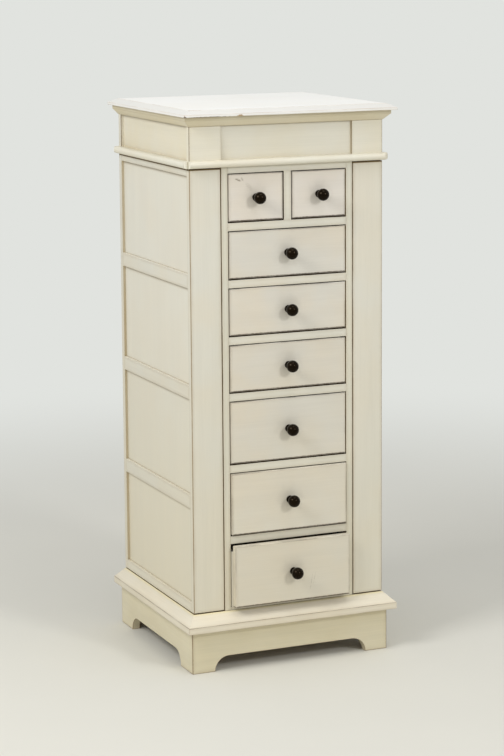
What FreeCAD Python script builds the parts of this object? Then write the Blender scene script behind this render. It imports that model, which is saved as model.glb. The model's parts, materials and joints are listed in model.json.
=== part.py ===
"""Jewelry chest: a painted lift-top armoire with two swing-out side doors and eight drawers.

Frame: +X to the chest's right as seen from the front, +Y to the back, +Z up.
The origin is on the floor, at the centre of the box that the closed chest fills.
All lengths are millimetres.
"""
import FreeCAD
import Part

import os

import Sketcher

SIZES = {
    # The body: the outline of the doors, the frieze and the back
    "body_width": 376.0,
    "body_depth": 355.0,
    "board": 12.0,
    "frieze_board": 12.5,
    "eased_edge": 1.0,
    "overrun": 5.0,
    # Plinth with bracket feet
    "plinth_height": 79.0,
    "plinth_board": 15.0,
    "plinth_reach": 6.5,
    "arch_height": 27.0,
    "front_foot": 44.0,
    "side_foot": 58.0,
    "block_side": 24.0,
    "block_lift": 8.0,
    # Base cap: a mitred frame with a bevelled top
    "cap_edge": 12.0,
    "cap_rise": 18.0,
    "cap_side_reach": 19.0,
    "cap_front_reach": 24.0,
    "cap_back_reach": 13.0,
    "cap_inset": 12.0,
    "base_board": 12.0,
    # Face frame, from the sill up
    "sill_height": 6.0,
    "rail_height": 14.2,
    "rail_depth": 40.0,
    "top_rail_height": 11.8,
    "tall_opening": 116.5,
    "low_opening": 88.0,
    "mullion_width": 14.3,
    "runner_width": 12.0,
    "runner_height": 10.0,
    # Side doors
    "pilaster_width": 59.0,
    "pilaster_thickness": 13.0,
    "pilaster_gap": 1.5,
    "door_gap": 1.5,
    "door_back_gap": 0.5,
    "door_top_rail": 12.5,
    "door_middle_rail": 25.0,
    "door_bottom_rail": 17.0,
    "panel_recess": 5.0,
    "panel_thickness": 4.0,
    "groove_depth": 4.0,
    "groove_play": 0.1,
    "hook_strip_height": 26.0,
    "hook_strip_thickness": 9.0,
    "hook_strip_drop": 2.0,
    "hook_wire": 1.2,
    "hook_stem": 12.0,
    "hook_bend": 4.5,
    "hook_tip": 5.0,
    "hook_flange": 3.6,
    "hook_flange_thickness": 1.0,
    "catch_height": 30.0,
    "catch_width": 10.0,
    "catch_length": 16.0,
    "catch_gap": 0.3,
    # Frieze box round the top compartment
    "frieze_clear_height": 60.0,
    "frieze_stile": 61.0,
    "frieze_recess": 5.0,
    "tray_floor": 8.0,
    "bead_height": 13.0,
    "bead_reach": 12.0,
    "bead_flat": 0.6,
    "bed_height": 17.0,
    "bed_reach": 12.0,
    "bed_quirk": 1.0,
    # Lid
    "lid_gap": 0.8,
    "lid_edge": 4.7,
    "lid_bevel_rise": 7.0,
    "lid_bevel_run": 15.0,
    "lid_side_reach": 18.0,
    "lid_front_reach": 26.0,
    "lid_back_reach": 10.0,
    "mirror_margin": 26.0,
    "mirror_thickness": 3.0,
    # Top compartment
    "divider": 6.0,
    "divider_height": 45.0,
    "roll_bay_width": 172.0,
    "roll_bay_depth": 184.0,
    "roll_base": 8.0,
    "roll_radius": 9.5,
    "roll_play": 0.3,
    # Drawers
    "drawer_gap": 1.8,
    "drawer_front": 12.0,
    "drawer_back_gap": 21.0,
    "box_side": 8.0,
    "box_play": 1.0,
    "box_lift": 0.4,
    "box_headroom": 14.0,
    "box_bottom": 4.0,
    "box_bottom_rise": 4.0,
    "bottom_groove": 4.0,
    "bottom_drawer_open": 18.0,
    "sixth_drawer_open": 4.0,
    # Knobs: a turned ball on a collar
    "knob_ball_radius": 11.0,
    "knob_ball_centre": 19.0,
    "knob_collar_radius": 7.0,
    "knob_collar_thickness": 3.0,
    "knob_collar_round": 1.5,
    "knob_neck_radius": 5.6,
    # Butt hinges
    "hinge_height": 40.0,
    "hinge_leaf": 1.2,
    "hinge_knuckle_radius": 2.4,
    "hinge_pin_radius": 1.2,
    "hinge_pin_play": 0.05,
    "hinge_knuckle_gap": 0.3,
    "hinge_leaf_width": 11.0,
    "hinge_end": 90.0,
    "lid_hinge_spread": 110.0,
    "lid_leaf_depth": 18.0,
    "lid_tab": 2.2,
}

RUNNER_ROWS = 5
LOW_ROWS = 4
TALL_ROWS = 3
DOOR_PANELS = 4
DOOR_HINGES = 3
ROLL_COUNT = 8
HOOK_COUNT = 7
KNUCKLES = 3
TOUCH = 1e-4


class Length:
    """A length with its spreadsheet expression, so that sums stay bound to the sheet."""

    def __init__(self, number, text):
        self.number = float(number)
        self.text = text

    def __add__(self, other):
        other = as_length(other)
        return Length(self.number + other.number, f"({self.text} + {other.text})")

    def __radd__(self, other):
        return as_length(other) + self

    def __sub__(self, other):
        other = as_length(other)
        return Length(self.number - other.number, f"({self.text} - {other.text})")

    def __rsub__(self, other):
        return as_length(other) - self

    def __mul__(self, factor):
        return Length(self.number * factor, f"({self.text} * {factor})")

    def __rmul__(self, factor):
        return self * factor

    def __truediv__(self, divisor):
        return Length(self.number / divisor, f"({self.text} / {divisor})")

    def __neg__(self):
        return Length(-self.number, f"(0 - {self.text})")


def as_length(value):
    """Return value as a Length; only zero comes as a plain number."""
    if isinstance(value, Length):
        return value
    return Length(value, str(value))


def make_sheet(doc):
    """Write every driving dimension to a spreadsheet cell with an alias."""
    sheet = doc.addObject("Spreadsheet::Sheet", "Sizes")
    for row, (name, value) in enumerate(SIZES.items(), start=1):
        sheet.set(f"A{row}", name.replace("_", " "))
        sheet.set(f"B{row}", str(value))
        sheet.setAlias(f"B{row}", name)
    doc.recompute()
    return sheet


doc = FreeCAD.newDocument("jewelry_chest")
sheet = make_sheet(doc)
size = {name: Length(getattr(sheet, name), f"Sizes.{name}") for name in SIZES}
nodes = []


def bind(thing, name, length):
    """Set one size of an object and bind it to the sheet."""
    length = as_length(length)
    setattr(thing, name, length.number)
    thing.setExpression(name, length.text)


def place(thing, at):
    """Put an object at a point whose coordinates are bound to the sheet."""
    x, y, z = (as_length(value) for value in at)
    thing.Placement.Base = FreeCAD.Vector(x.number, y.number, z.number)
    for axis, length in zip("xyz", (x, y, z)):
        thing.setExpression(f"Placement.Base.{axis}", length.text)


def node(thing, label):
    """Give an object the name of the piece and put it on the list of pieces."""
    thing.Label = label
    nodes.append(thing)
    return thing


def block(low, high, name="board"):
    """Return a rectangular board between two corners."""
    box = doc.addObject("Part::Box", name)
    spans = [as_length(top) - bottom for bottom, top in zip(low, high)]
    for side, span in zip(("Length", "Width", "Height"), spans):
        bind(box, side, span)
    place(box, low)
    return box


def group(label, parts):
    """Return one object that holds several separate solids."""
    compound = doc.addObject("Part::Compound", label)
    compound.Links = parts
    return compound


def cut(base, tool, name="cut"):
    """Return base with tool cut away."""
    result = doc.addObject("Part::Cut", name)
    result.Base = base
    result.Tool = tool
    return result


def draw(body, plane, offset, corners, arcs=None):
    """Draw a closed outline on one of a body's own planes, offset along the plane's normal.

    Every corner is held at its two distances from the sketch's origin. arcs maps a side's
    number to its centre, its radius and +1 where it turns to the left, -1 to the right.
    """
    sketch = body.newObject("Sketcher::SketchObject", "outline")
    roles = {feature.Role: feature for feature in body.Origin.OriginFeatures}
    sketch.AttachmentSupport = [(roles[plane], "")]
    sketch.MapMode = "FlatFace"
    shift = as_length(offset)
    sketch.AttachmentOffset = FreeCAD.Placement(
        FreeCAD.Vector(0, 0, shift.number), FreeCAD.Rotation()
    )
    sketch.setExpression("AttachmentOffset.Base.z", shift.text)
    arcs = arcs or {}
    corners = [(as_length(x), as_length(y)) for x, y in corners]
    spots = [FreeCAD.Vector(x.number, y.number, 0) for x, y in corners]
    count = len(corners)
    ends = []
    for side in range(count):
        start, end = spots[side], spots[(side + 1) % count]
        if side in arcs:
            centre, radius, turn = arcs[side]
            middle = FreeCAD.Vector(as_length(centre[0]).number, as_length(centre[1]).number, 0)
            first, last = (start, end) if turn > 0 else (end, start)
            circle = Part.Circle(middle, FreeCAD.Vector(0, 0, 1), radius.number)
            sketch.addGeometry(
                Part.ArcOfCircle(circle, circle.parameter(first), circle.parameter(last)), False
            )
            ends.append((1, 2) if turn > 0 else (2, 1))
        else:
            sketch.addGeometry(Part.LineSegment(start, end), False)
            ends.append((1, 2))
    for side in range(count):
        follower = (side + 1) % count
        sketch.addConstraint(
            Sketcher.Constraint("Coincident", side, ends[side][1], follower, ends[follower][0])
        )
    for side, (x, y) in enumerate(corners):
        for kind, length in (("DistanceX", x), ("DistanceY", y)):
            number = sketch.addConstraint(
                Sketcher.Constraint(kind, side, ends[side][0], length.number)
            )
            sketch.setExpression(f"Constraints[{number}]", length.text)
    for side, (_, radius, _) in arcs.items():
        number = sketch.addConstraint(Sketcher.Constraint("Radius", side, radius.number))
        sketch.setExpression(f"Constraints[{number}]", radius.text)
    return sketch


def pad(body, plane, offset, thickness, corners, arcs=None):
    """Add a pad that grows from an offset plane along the plane's normal."""
    feature = body.newObject("PartDesign::Pad", "pad")
    feature.Profile = draw(body, plane, offset, corners, arcs)
    bind(feature, "Length", thickness)
    return feature


def pocket(body, plane, offset, depth, corners, arcs=None, along_normal=False):
    """Cut a pocket of a given depth, or right through both ways where depth is None."""
    feature = body.newObject("PartDesign::Pocket", "pocket")
    feature.Profile = draw(body, plane, offset, corners, arcs)
    feature.Reversed = along_normal
    if depth is None:
        feature.Type = "ThroughAll"
        feature.Midplane = True
    else:
        bind(feature, "Length", depth)
    return feature


def rectangle(left, bottom, right, top):
    """Return the four corners of a rectangle."""
    return [(left, bottom), (right, bottom), (right, top), (left, top)]


def edges_where(feature, test):
    """Return the names of the edges whose ends all pass a test on their coordinates."""
    return [
        f"Edge{number}"
        for number, edge in enumerate(feature.Shape.Edges, start=1)
        if all(test(vertex.Point) for vertex in edge.Vertexes)
    ]


def near(value, length):
    """Tell whether a coordinate lies at a length."""
    return abs(value - as_length(length).number) < TOUCH


def ease(body, feature, kind, radius, test):
    """Fillet or chamfer the edges of a body's last feature that pass a test."""
    doc.recompute()
    dressing = body.newObject(f"PartDesign::{kind}", kind.lower())
    dressing.Base = (feature, edges_where(feature, test))
    bind(dressing, "Radius" if kind == "Fillet" else "Size", radius)
    return dressing


# Levels and planes that the pieces share
half_width = size["body_width"] / 2
knob_reach = size["knob_ball_centre"] + size["knob_ball_radius"]
front_reach = size["bottom_drawer_open"] + knob_reach
back_reach = size["body_depth"] + size["cap_back_reach"]
front_y = (front_reach - back_reach) / 2
back_y = front_y + size["body_depth"]

cap_bottom = size["plinth_height"]
cap_corner = cap_bottom + size["cap_edge"]
base_top = cap_corner + size["cap_rise"]
sill_top = base_top + size["sill_height"]

pilaster_edge = half_width - size["pilaster_width"]
partition_outer = pilaster_edge - size["pilaster_gap"]
partition_inner = partition_outer - size["board"]
back_panel_front = back_y - size["board"]
back_panel_side = half_width - size["board"] - size["door_back_gap"]

row_heights = [size["tall_opening"]] * TALL_ROWS + [size["low_opening"]] * LOW_ROWS
row_floors = []
level = sill_top
for row_height in row_heights:
    row_floors.append(level)
    level = level + row_height + size["rail_height"]
row_count = len(row_heights)
top_row_ceiling = row_floors[-1] + row_heights[-1]
body_top = top_row_ceiling + size["top_rail_height"]

bead_top = body_top + size["bead_height"]
bed_bottom = bead_top + size["frieze_clear_height"]
box_top = bed_bottom + size["bed_height"]
lid_bottom = box_top + size["lid_gap"]
lid_corner = lid_bottom + size["lid_edge"]
lid_top = lid_corner + size["lid_bevel_rise"]

door_bottom = base_top + size["door_gap"]
door_top = body_top - size["door_gap"]

hinge_set = size["hinge_knuckle_radius"] + size["hinge_knuckle_gap"]
hinge_axis_x = (half_width - size["board"] + back_panel_side) / 2
hinge_axis_y = back_y + hinge_set
lid_axis_z = lid_bottom - hinge_set


def ring_side(side, reach, inner):
    """Return the plan of one mitred length of a moulding round the body.

    reach and inner give the distances of its outer and inner edge from the body's faces,
    outwards, at the front, the sides and the back; a back of None ends it flush.
    """
    outer_x = half_width + reach["side"]
    inner_x = half_width + inner["side"]
    outer_front = front_y - reach["front"]
    inner_front = front_y - inner["front"]
    outer_back = back_y + reach["back"] if "back" in reach else back_y
    inner_back = back_y + inner["back"] if "back" in inner else back_y
    if side == "front":
        return [(-outer_x, outer_front), (outer_x, outer_front), (half_width, front_y),
                (inner_x, inner_front), (-inner_x, inner_front), (-half_width, front_y)]
    if side == "back":
        return [(-outer_x, outer_back), (-half_width, back_y), (-inner_x, inner_back),
                (inner_x, inner_back), (half_width, back_y), (outer_x, outer_back)]
    corners = [(outer_x, outer_front), (half_width, front_y), (inner_x, inner_front),
               (inner_x, inner_back), (half_width, back_y), (outer_x, outer_back)]
    if side == "left":
        return [(-x, y) for x, y in corners]
    return corners


def plinth_board(side):
    """Return one mitred board of the plinth, with the arch between its bracket feet."""
    reach = size["plinth_reach"]
    outer_x = half_width + reach
    inner_x = outer_x - size["plinth_board"]
    outer_front = front_y - reach
    outer_back = back_y + reach
    inner_front = outer_front + size["plinth_board"]
    inner_back = outer_back - size["plinth_board"]
    plans = {
        "front": [(-outer_x, outer_front), (outer_x, outer_front),
                  (inner_x, inner_front), (-inner_x, inner_front)],
        "back": [(-inner_x, inner_back), (inner_x, inner_back),
                 (outer_x, outer_back), (-outer_x, outer_back)],
        "left": [(-outer_x, outer_front), (-inner_x, inner_front),
                 (-inner_x, inner_back), (-outer_x, outer_back)],
        "right": [(outer_x, outer_front), (outer_x, outer_back),
                  (inner_x, inner_back), (inner_x, inner_front)],
    }
    body = doc.addObject("PartDesign::Body", "board")
    pad(body, "XY_Plane", 0, size["plinth_height"], plans[side])
    if side in ("front", "back"):
        plane = "XZ_Plane"
        start, end = size["front_foot"] - outer_x, outer_x - size["front_foot"]
        offset = -outer_front if side == "front" else -outer_back
    else:
        plane = "YZ_Plane"
        start, end = outer_front + size["side_foot"], outer_back - size["side_foot"]
        offset = -outer_x if side == "left" else outer_x
    top = size["arch_height"]
    corners = [(start, -size["overrun"]), (end, -size["overrun"]), (end, 0),
               (end - top, top), (start + top, top), (start, 0)]
    arcs = {2: ((end - top, 0), top, 1), 4: ((start + top, 0), top, 1)}
    depth = size["plinth_board"] + size["overrun"]
    pocket(body, plane, offset, depth, corners, arcs, along_normal=side in ("back", "left"))
    return node(body, f"plinth_{side}")


def plinth_blocks():
    """Return the glue blocks in the plinth's corners."""
    inner_x = half_width + size["plinth_reach"] - size["plinth_board"]
    inner_front = front_y - size["plinth_reach"] + size["plinth_board"]
    inner_back = back_y + size["plinth_reach"] - size["plinth_board"]
    side = size["block_side"]
    blocks = []
    for left in (-inner_x, inner_x - side):
        for near_y in (inner_front, inner_back - side):
            low = (left, near_y, size["block_lift"])
            high = (left + side, near_y + side, size["plinth_height"])
            blocks.append(block(low, high, "glue_block"))
    return node(group("plinth_blocks", blocks), "plinth_blocks")


def base_cap():
    """Return the base cap's four mitred lengths, each with its bevelled top."""
    reach = {"side": size["cap_side_reach"], "front": size["cap_front_reach"],
             "back": size["cap_back_reach"]}
    inner = {where: -size["cap_inset"] for where in reach}
    lengths = []
    for side in ("front", "left", "right", "back"):
        body = doc.addObject("PartDesign::Body", "cap_length")
        height = base_top - cap_bottom
        pad(body, "XY_Plane", cap_bottom, height, ring_side(side, reach, inner))
        if side in ("front", "back"):
            plane = "YZ_Plane"
            face = front_y if side == "front" else back_y
        else:
            plane = "XZ_Plane"
            face = -half_width if side == "left" else half_width
        outward = -1 if side in ("front", "left") else 1
        edge = face + reach.get(side, reach["side"]) * outward
        beyond = edge + size["overrun"] * outward
        above = base_top + size["overrun"]
        bevel = [(edge, cap_corner), (face, base_top), (face, above),
                 (beyond, above), (beyond, cap_corner)]
        pocket(body, plane, 0, None, bevel)
        lengths.append(body)
    return node(group("base_cap", lengths), "base_cap")


def carcass():
    """Build the fixed boards between the base cap and the frieze."""
    inset = size["cap_inset"]
    node(block((inset - half_width, front_y + inset, base_top - size["base_board"]),
               (half_width - inset, back_y - inset, base_top)), "base_board")
    for side, sign in (("left", -1), ("right", 1)):
        low_x, high_x = sorted_pair(partition_inner * sign, partition_outer * sign)
        node(block((low_x, front_y, base_top), (high_x, back_panel_front, body_top)),
             f"partition_{side}")
    node(block((-back_panel_side, back_panel_front, base_top),
               (back_panel_side, back_y, body_top)), "back_panel")


def sorted_pair(first, second):
    """Return two lengths, the lower first."""
    return (first, second) if first.number < second.number else (second, first)


def face_frame():
    """Return the sill, the rails, the shelf under the small drawers, and the mullion."""
    rail_back = front_y + size["rail_depth"]
    parts = [block((-partition_inner, front_y, base_top),
                   (partition_inner, back_panel_front, sill_top), "sill")]
    for floor in row_floors[1:]:
        depth = back_panel_front if floor is row_floors[-1] else rail_back
        parts.append(block((-partition_inner, front_y, floor - size["rail_height"]),
                           (partition_inner, depth, floor), "rail"))
    parts.append(block((-partition_inner, front_y, top_row_ceiling),
                       (partition_inner, rail_back, body_top), "top_rail"))
    half_mullion = size["mullion_width"] / 2
    parts.append(block((-half_mullion, front_y, row_floors[-1]),
                       (half_mullion, back_panel_front, top_row_ceiling), "mullion"))
    return node(group("face_frame", parts), "face_frame")


def drawer_runners():
    """Return the runner strips behind the rails, on both partitions."""
    parts = []
    rail_back = front_y + size["rail_depth"]
    for floor in row_floors[1:1 + RUNNER_ROWS]:
        for sign in (-1, 1):
            low_x, high_x = sorted_pair(partition_inner * sign,
                                        (partition_inner - size["runner_width"]) * sign)
            parts.append(block((low_x, rail_back, floor - size["runner_height"]),
                               (high_x, back_panel_front, floor), "runner"))
    return node(group("drawer_runners", parts), "drawer_runners")


def frieze():
    """Build the frieze box with its recessed panels, and the floor of the top compartment."""
    board = size["frieze_board"]
    inner_x = half_width - board
    inner_front = front_y + board
    inner_back = back_y - board
    node(block((-inner_x, inner_front, body_top),
               (inner_x, inner_back, body_top + size["tray_floor"])), "tray_floor")
    front = doc.addObject("PartDesign::Body", "frieze_front")
    pad(front, "XZ_Plane", -inner_front, board,
        rectangle(-half_width, body_top, half_width, box_top))
    panel_edge = half_width - size["frieze_stile"]
    pocket(front, "XZ_Plane", -front_y, size["frieze_recess"],
           rectangle(-panel_edge, bead_top, panel_edge, bed_bottom))
    node(front, "frieze_front")
    for side, sign in (("left", -1), ("right", 1)):
        body = doc.addObject("PartDesign::Body", f"frieze_{side}")
        start, _ = sorted_pair(half_width * sign, inner_x * sign)
        pad(body, "YZ_Plane", start, board,
            rectangle(inner_front, body_top, inner_back, box_top))
        pocket(body, "YZ_Plane", half_width * sign, size["frieze_recess"],
               rectangle(inner_front, bead_top, inner_back, bed_bottom),
               along_normal=sign < 0)
        node(body, f"frieze_{side}")
    node(block((-half_width, inner_back, body_top), (half_width, back_y, box_top)),
         "frieze_back")


def mouldings(label, bottom, height, reach, easing, noses):
    """Return three mitred lengths of a planted moulding, with its outer edges eased.

    easing is Fillet for rounded edges or Chamfer for slanted ones; noses lists the levels of
    these edges with their size.
    """
    reaches = {"side": reach, "front": reach}
    inner = {"side": as_length(0), "front": as_length(0)}
    lengths = []
    for side in ("front", "left", "right"):
        body = doc.addObject("PartDesign::Body", "moulding_length")
        plan = ring_side(side, reaches, inner)
        if side == "front":
            plan = [plan[0], plan[1], plan[2], plan[5]]
        else:
            plan = [plan[0], plan[1], plan[4], plan[5]]
        feature = pad(body, "XY_Plane", bottom, height, plan)
        outer_x = (half_width + reach).number
        outer_y = (front_y - reach).number

        def on_nose(point, side=side):
            """Tell whether a point lies on the length's outer face, at a rounded edge."""
            outer = near(point.y, outer_y) if side == "front" else near(abs(point.x), outer_x)
            return outer and any(near(point.z, at) for at, _ in noses)

        ease(body, feature, easing, noses[0][1], on_nose)
        lengths.append(body)
    return node(group(label, lengths), label)


def lid():
    """Build the lid slab with its bevelled top and hinge mortises, and its mirror."""
    outer_x = half_width + size["lid_side_reach"]
    outer_front = front_y - size["lid_front_reach"]
    outer_back = back_y + size["lid_back_reach"]
    run = size["lid_bevel_run"]
    spare = size["overrun"]
    slab = doc.addObject("PartDesign::Body", "lid_slab")
    pad(slab, "XY_Plane", lid_bottom, lid_top - lid_bottom,
        rectangle(-outer_x, outer_front, outer_x, outer_back))
    bevels = (("XZ_Plane", -outer_x, 1), ("XZ_Plane", outer_x, -1),
              ("YZ_Plane", outer_front, 1), ("YZ_Plane", outer_back, -1))
    for plane, edge, inward in bevels:
        pocket(slab, plane, 0, None,
               [(edge, lid_corner), (edge + run * inward, lid_top),
                (edge + run * inward, lid_top + spare),
                (edge - spare * inward, lid_top + spare), (edge - spare * inward, lid_corner)])
    half_leaf = size["hinge_height"] / 2
    leaf_back = hinge_axis_y + size["lid_tab"] / 2
    for sign in (-1, 1):
        middle = size["lid_hinge_spread"] * sign
        pocket(slab, "XY_Plane", lid_bottom, size["hinge_leaf"],
               rectangle(middle - half_leaf, leaf_back - size["lid_leaf_depth"],
                         middle + half_leaf, leaf_back), along_normal=True)
    node(slab, "lid_slab")
    inset = size["frieze_board"] + size["mirror_margin"]
    node(block((inset - half_width, front_y + inset, lid_bottom - size["mirror_thickness"]),
               (half_width - inset, back_y - inset, lid_bottom)), "lid_mirror")


def top_compartment():
    """Build the dividers and the ring rolls of the top compartment."""
    floor = body_top + size["tray_floor"]
    inner_x = half_width - size["frieze_board"]
    inner_front = front_y + size["frieze_board"]
    inner_back = back_y - size["frieze_board"]
    top = floor + size["divider_height"]
    split_y = inner_front + size["roll_bay_depth"]
    split_x = size["roll_bay_width"] - inner_x
    behind = split_y + size["divider"]
    third = (inner_x * 2 - size["divider"] * 2) / 3
    middle_y = inner_front + (size["roll_bay_depth"] - size["divider"]) / 2
    parts = [
        block((-inner_x, split_y, floor), (inner_x, behind, top), "long_divider"),
        block((split_x, inner_front, floor), (split_x + size["divider"], split_y, top)),
        block((split_x + size["divider"], middle_y, floor),
              (inner_x, middle_y + size["divider"], top)),
        block((third - inner_x, behind, floor), (third - inner_x + size["divider"],
                                                 inner_back, top)),
        block((inner_x - third - size["divider"], behind, floor),
              (inner_x - third, inner_back, top)),
    ]
    node(group("tray_dividers", parts), "tray_dividers")
    play = size["roll_play"]
    low_x, high_x = play - inner_x, split_x - play
    low_y, high_y = inner_front + play, split_y - play
    rolls = [block((low_x, low_y, floor), (high_x, high_y, floor + size["roll_base"]))]
    pitch = (high_y - low_y) / ROLL_COUNT
    for number in range(ROLL_COUNT):
        roll = doc.addObject("Part::Cylinder", "roll")
        bind(roll, "Radius", size["roll_radius"])
        bind(roll, "Height", high_x - low_x)
        roll.Placement.Rotation = FreeCAD.Rotation(FreeCAD.Vector(0, 1, 0), 90)
        place(roll, (low_x, low_y + pitch * (number + 0.5),
                     floor + size["roll_base"] + size["roll_radius"] / 2))
        rolls.append(roll)
    cushion = doc.addObject("Part::MultiFuse", "cushion")
    cushion.Shapes = rolls
    bay = block((low_x, low_y, floor), (high_x, high_y, top))
    trimmed = doc.addObject("Part::Common", "ring_rolls")
    trimmed.Base = cushion
    trimmed.Tool = bay
    node(trimmed, "ring_rolls")


def door(side, sign):
    """Build a side door: pilaster, frame with its hook strip, panels and hooks."""
    outer = half_width * sign
    inner = (half_width - size["board"]) * sign
    pilaster_back = front_y + size["pilaster_thickness"]
    stile_front = back_y - size["board"]
    middle_total = size["door_middle_rail"] * (DOOR_PANELS - 1)
    opening = (door_top - door_bottom - size["door_top_rail"] - size["door_bottom_rail"]
               - middle_total) / DOOR_PANELS
    low_x, high_x = sorted_pair(outer, inner)
    rails = [(door_bottom, door_bottom + size["door_bottom_rail"])]
    panels = []
    for number in range(DOOR_PANELS):
        floor = rails[-1][1]
        panels.append((floor, floor + opening))
        top = size["door_top_rail"] if number == DOOR_PANELS - 1 else size["door_middle_rail"]
        rails.append((floor + opening, floor + opening + top))
    boards = [block((low_x, stile_front, door_bottom), (high_x, back_y, door_top), "stile")]
    for bottom, top in rails:
        boards.append(block((low_x, pilaster_back, bottom), (high_x, stile_front, top), "rail"))

    face = (half_width - size["panel_recess"]) * sign
    rear = (half_width - size["panel_recess"] - size["panel_thickness"]) * sign
    panel_x = sorted_pair(face, rear)
    grip = size["groove_depth"]

    def panel_boards(play, name):
        """Return the four panels, or their grooves where play is not zero."""
        return [block((panel_x[0] - play, pilaster_back - grip - play, bottom - grip - play),
                      (panel_x[1] + play, stile_front + grip + play, top + grip + play), name)
                for bottom, top in panels]

    strip_top = door_top - size["hook_strip_drop"]
    strip_x = sorted_pair(inner, (half_width - size["board"] - size["hook_strip_thickness"]) * sign)
    boards.append(block((strip_x[0], pilaster_back, strip_top - size["hook_strip_height"]),
                        (strip_x[1], back_y - size["board"] - size["catch_gap"], strip_top),
                        "hook_strip"))
    grooves = group("grooves", panel_boards(size["groove_play"], "groove"))
    frame = cut(group("door_boards", boards), grooves)
    node(frame, f"door_{side}_frame")
    node(group("door_panels", panel_boards(0, "panel")), f"door_{side}_panels")

    edge = pilaster_edge * sign
    low_x, high_x = sorted_pair(outer, edge)
    pilaster = doc.addObject("PartDesign::Body", "pilaster")
    feature = pad(pilaster, "XY_Plane", door_bottom, door_top - door_bottom,
                  rectangle(low_x, front_y, high_x, pilaster_back))
    front_level = front_y.number

    def on_front(point):
        """Tell whether a point lies on the pilaster's front face."""
        return near(point.y, front_level)

    ease(pilaster, feature, "Chamfer", size["eased_edge"], on_front)
    node(cut(pilaster, grooves), f"door_{side}_pilaster")
    hooks(side, sign, strip_top - size["hook_strip_height"] / 2)


def hook_shape():
    """Return the shape of one necklace hook, its stem along +X and its tip turned up."""
    wire = size["hook_wire"].number
    stem = size["hook_stem"].number
    bend = size["hook_bend"].number
    tip = size["hook_tip"].number
    along_x = FreeCAD.Vector(1, 0, 0)
    hook = Part.makeCylinder(size["hook_flange"].number, size["hook_flange_thickness"].number,
                             FreeCAD.Vector(0, 0, 0), along_x)
    hook = hook.fuse(Part.makeCylinder(wire, stem, FreeCAD.Vector(0, 0, 0), along_x))
    section = Part.Face(Part.Wire(Part.makeCircle(wire, FreeCAD.Vector(stem, 0, 0), along_x)))
    hook = hook.fuse(section.revolve(FreeCAD.Vector(stem, 0, bend), FreeCAD.Vector(0, -1, 0), 90))
    upright = Part.makeCylinder(wire, tip, FreeCAD.Vector(stem + bend, 0, bend))
    return hook.fuse(upright).removeSplitter()


def hooks(side, sign, level):
    """Return the necklace hooks on a door's strip, evenly spaced along it."""
    hook = hook_shape()
    start = front_y + size["pilaster_thickness"]
    pitch = (back_panel_front - start) / HOOK_COUNT
    face = (half_width - size["board"] - size["hook_strip_thickness"]) * sign
    angle = 180 if sign > 0 else 0
    copies = [turned(hook, FreeCAD.Vector(0, 0, 1), angle,
                     (face, start + pitch * (number + 0.5), level))
              for number in range(HOOK_COUNT)]
    part = doc.addObject("Part::Feature", f"door_{side}_hooks")
    part.Shape = Part.makeCompound(copies)
    return node(part, f"door_{side}_hooks")


def door_catches():
    """Return the magnetic catches that hold the doors shut, one on each partition."""
    low_y = front_y + size["pilaster_thickness"] + size["catch_gap"]
    middle = (door_bottom + door_top) / 2
    parts = []
    for sign in (-1, 1):
        low_x, high_x = sorted_pair(partition_outer * sign,
                                    (partition_outer + size["catch_width"]) * sign)
        parts.append(block((low_x, low_y, middle - size["catch_height"] / 2),
                           (high_x, low_y + size["catch_length"],
                            middle + size["catch_height"] / 2), "catch"))
    return node(group("door_catches", parts), "door_catches")


def knuckle(low, high, radius):
    """Return a cylinder on the hinge's own axis between two levels."""
    return Part.makeCylinder(radius, high - low, FreeCAD.Vector(0, 0, low))


def hinge_leaves():
    """Return the shapes of a fixed leaf with its pin, a moving leaf and the lid's cranked leaf.

    They stand in the hinge's own frame: the axis along Z and the carrying face at -Y.
    """
    height = size["hinge_height"].number
    half = height / 2
    half_knuckle = half / KNUCKLES
    gap = size["hinge_knuckle_gap"].number / 2
    radius = size["hinge_knuckle_radius"].number
    pin = size["hinge_pin_radius"].number
    bore = pin + size["hinge_pin_play"].number
    away = hinge_set.number
    leaf = size["hinge_leaf"].number
    width = size["hinge_leaf_width"].number
    tab = size["lid_tab"].number
    depth = size["lid_leaf_depth"].number

    fixed = Part.makeBox(width - away, leaf, height, FreeCAD.Vector(away, -away, -half))
    for low, high in ((-half, -half_knuckle - gap), (half_knuckle + gap, half)):
        arm = Part.makeBox(away, leaf, high - low, FreeCAD.Vector(0, -away, low))
        fixed = fixed.fuse(arm).fuse(knuckle(low, high, radius))
    fixed = fixed.fuse(knuckle(-half, half, pin)).removeSplitter()

    low, high = gap - half_knuckle, half_knuckle - gap
    middle = knuckle(low, high, radius)
    bored = knuckle(low, high, bore)
    moving = Part.makeBox(width - away, leaf, height, FreeCAD.Vector(-width, -away, -half))
    arm = Part.makeBox(away, leaf, high - low, FreeCAD.Vector(-away, -away, low))
    moving = moving.fuse(arm).fuse(middle).cut(bored).removeSplitter()

    cranked = Part.makeBox(tab, away + leaf, high - low, FreeCAD.Vector(-tab / 2, 0, low))
    plate = Part.makeBox(depth, leaf, height, FreeCAD.Vector(tab / 2 - depth, away, -half))
    cranked = cranked.fuse(plate).fuse(middle).cut(bored).removeSplitter()
    return fixed, moving, cranked


def turned(shape, axis, angle, at):
    """Return a copy of a shape, turned about the origin and moved to a point."""
    copy = shape.copy()
    copy.rotate(FreeCAD.Vector(0, 0, 0), axis, angle)
    copy.translate(FreeCAD.Vector(*(as_length(value).number for value in at)))
    return copy


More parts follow.
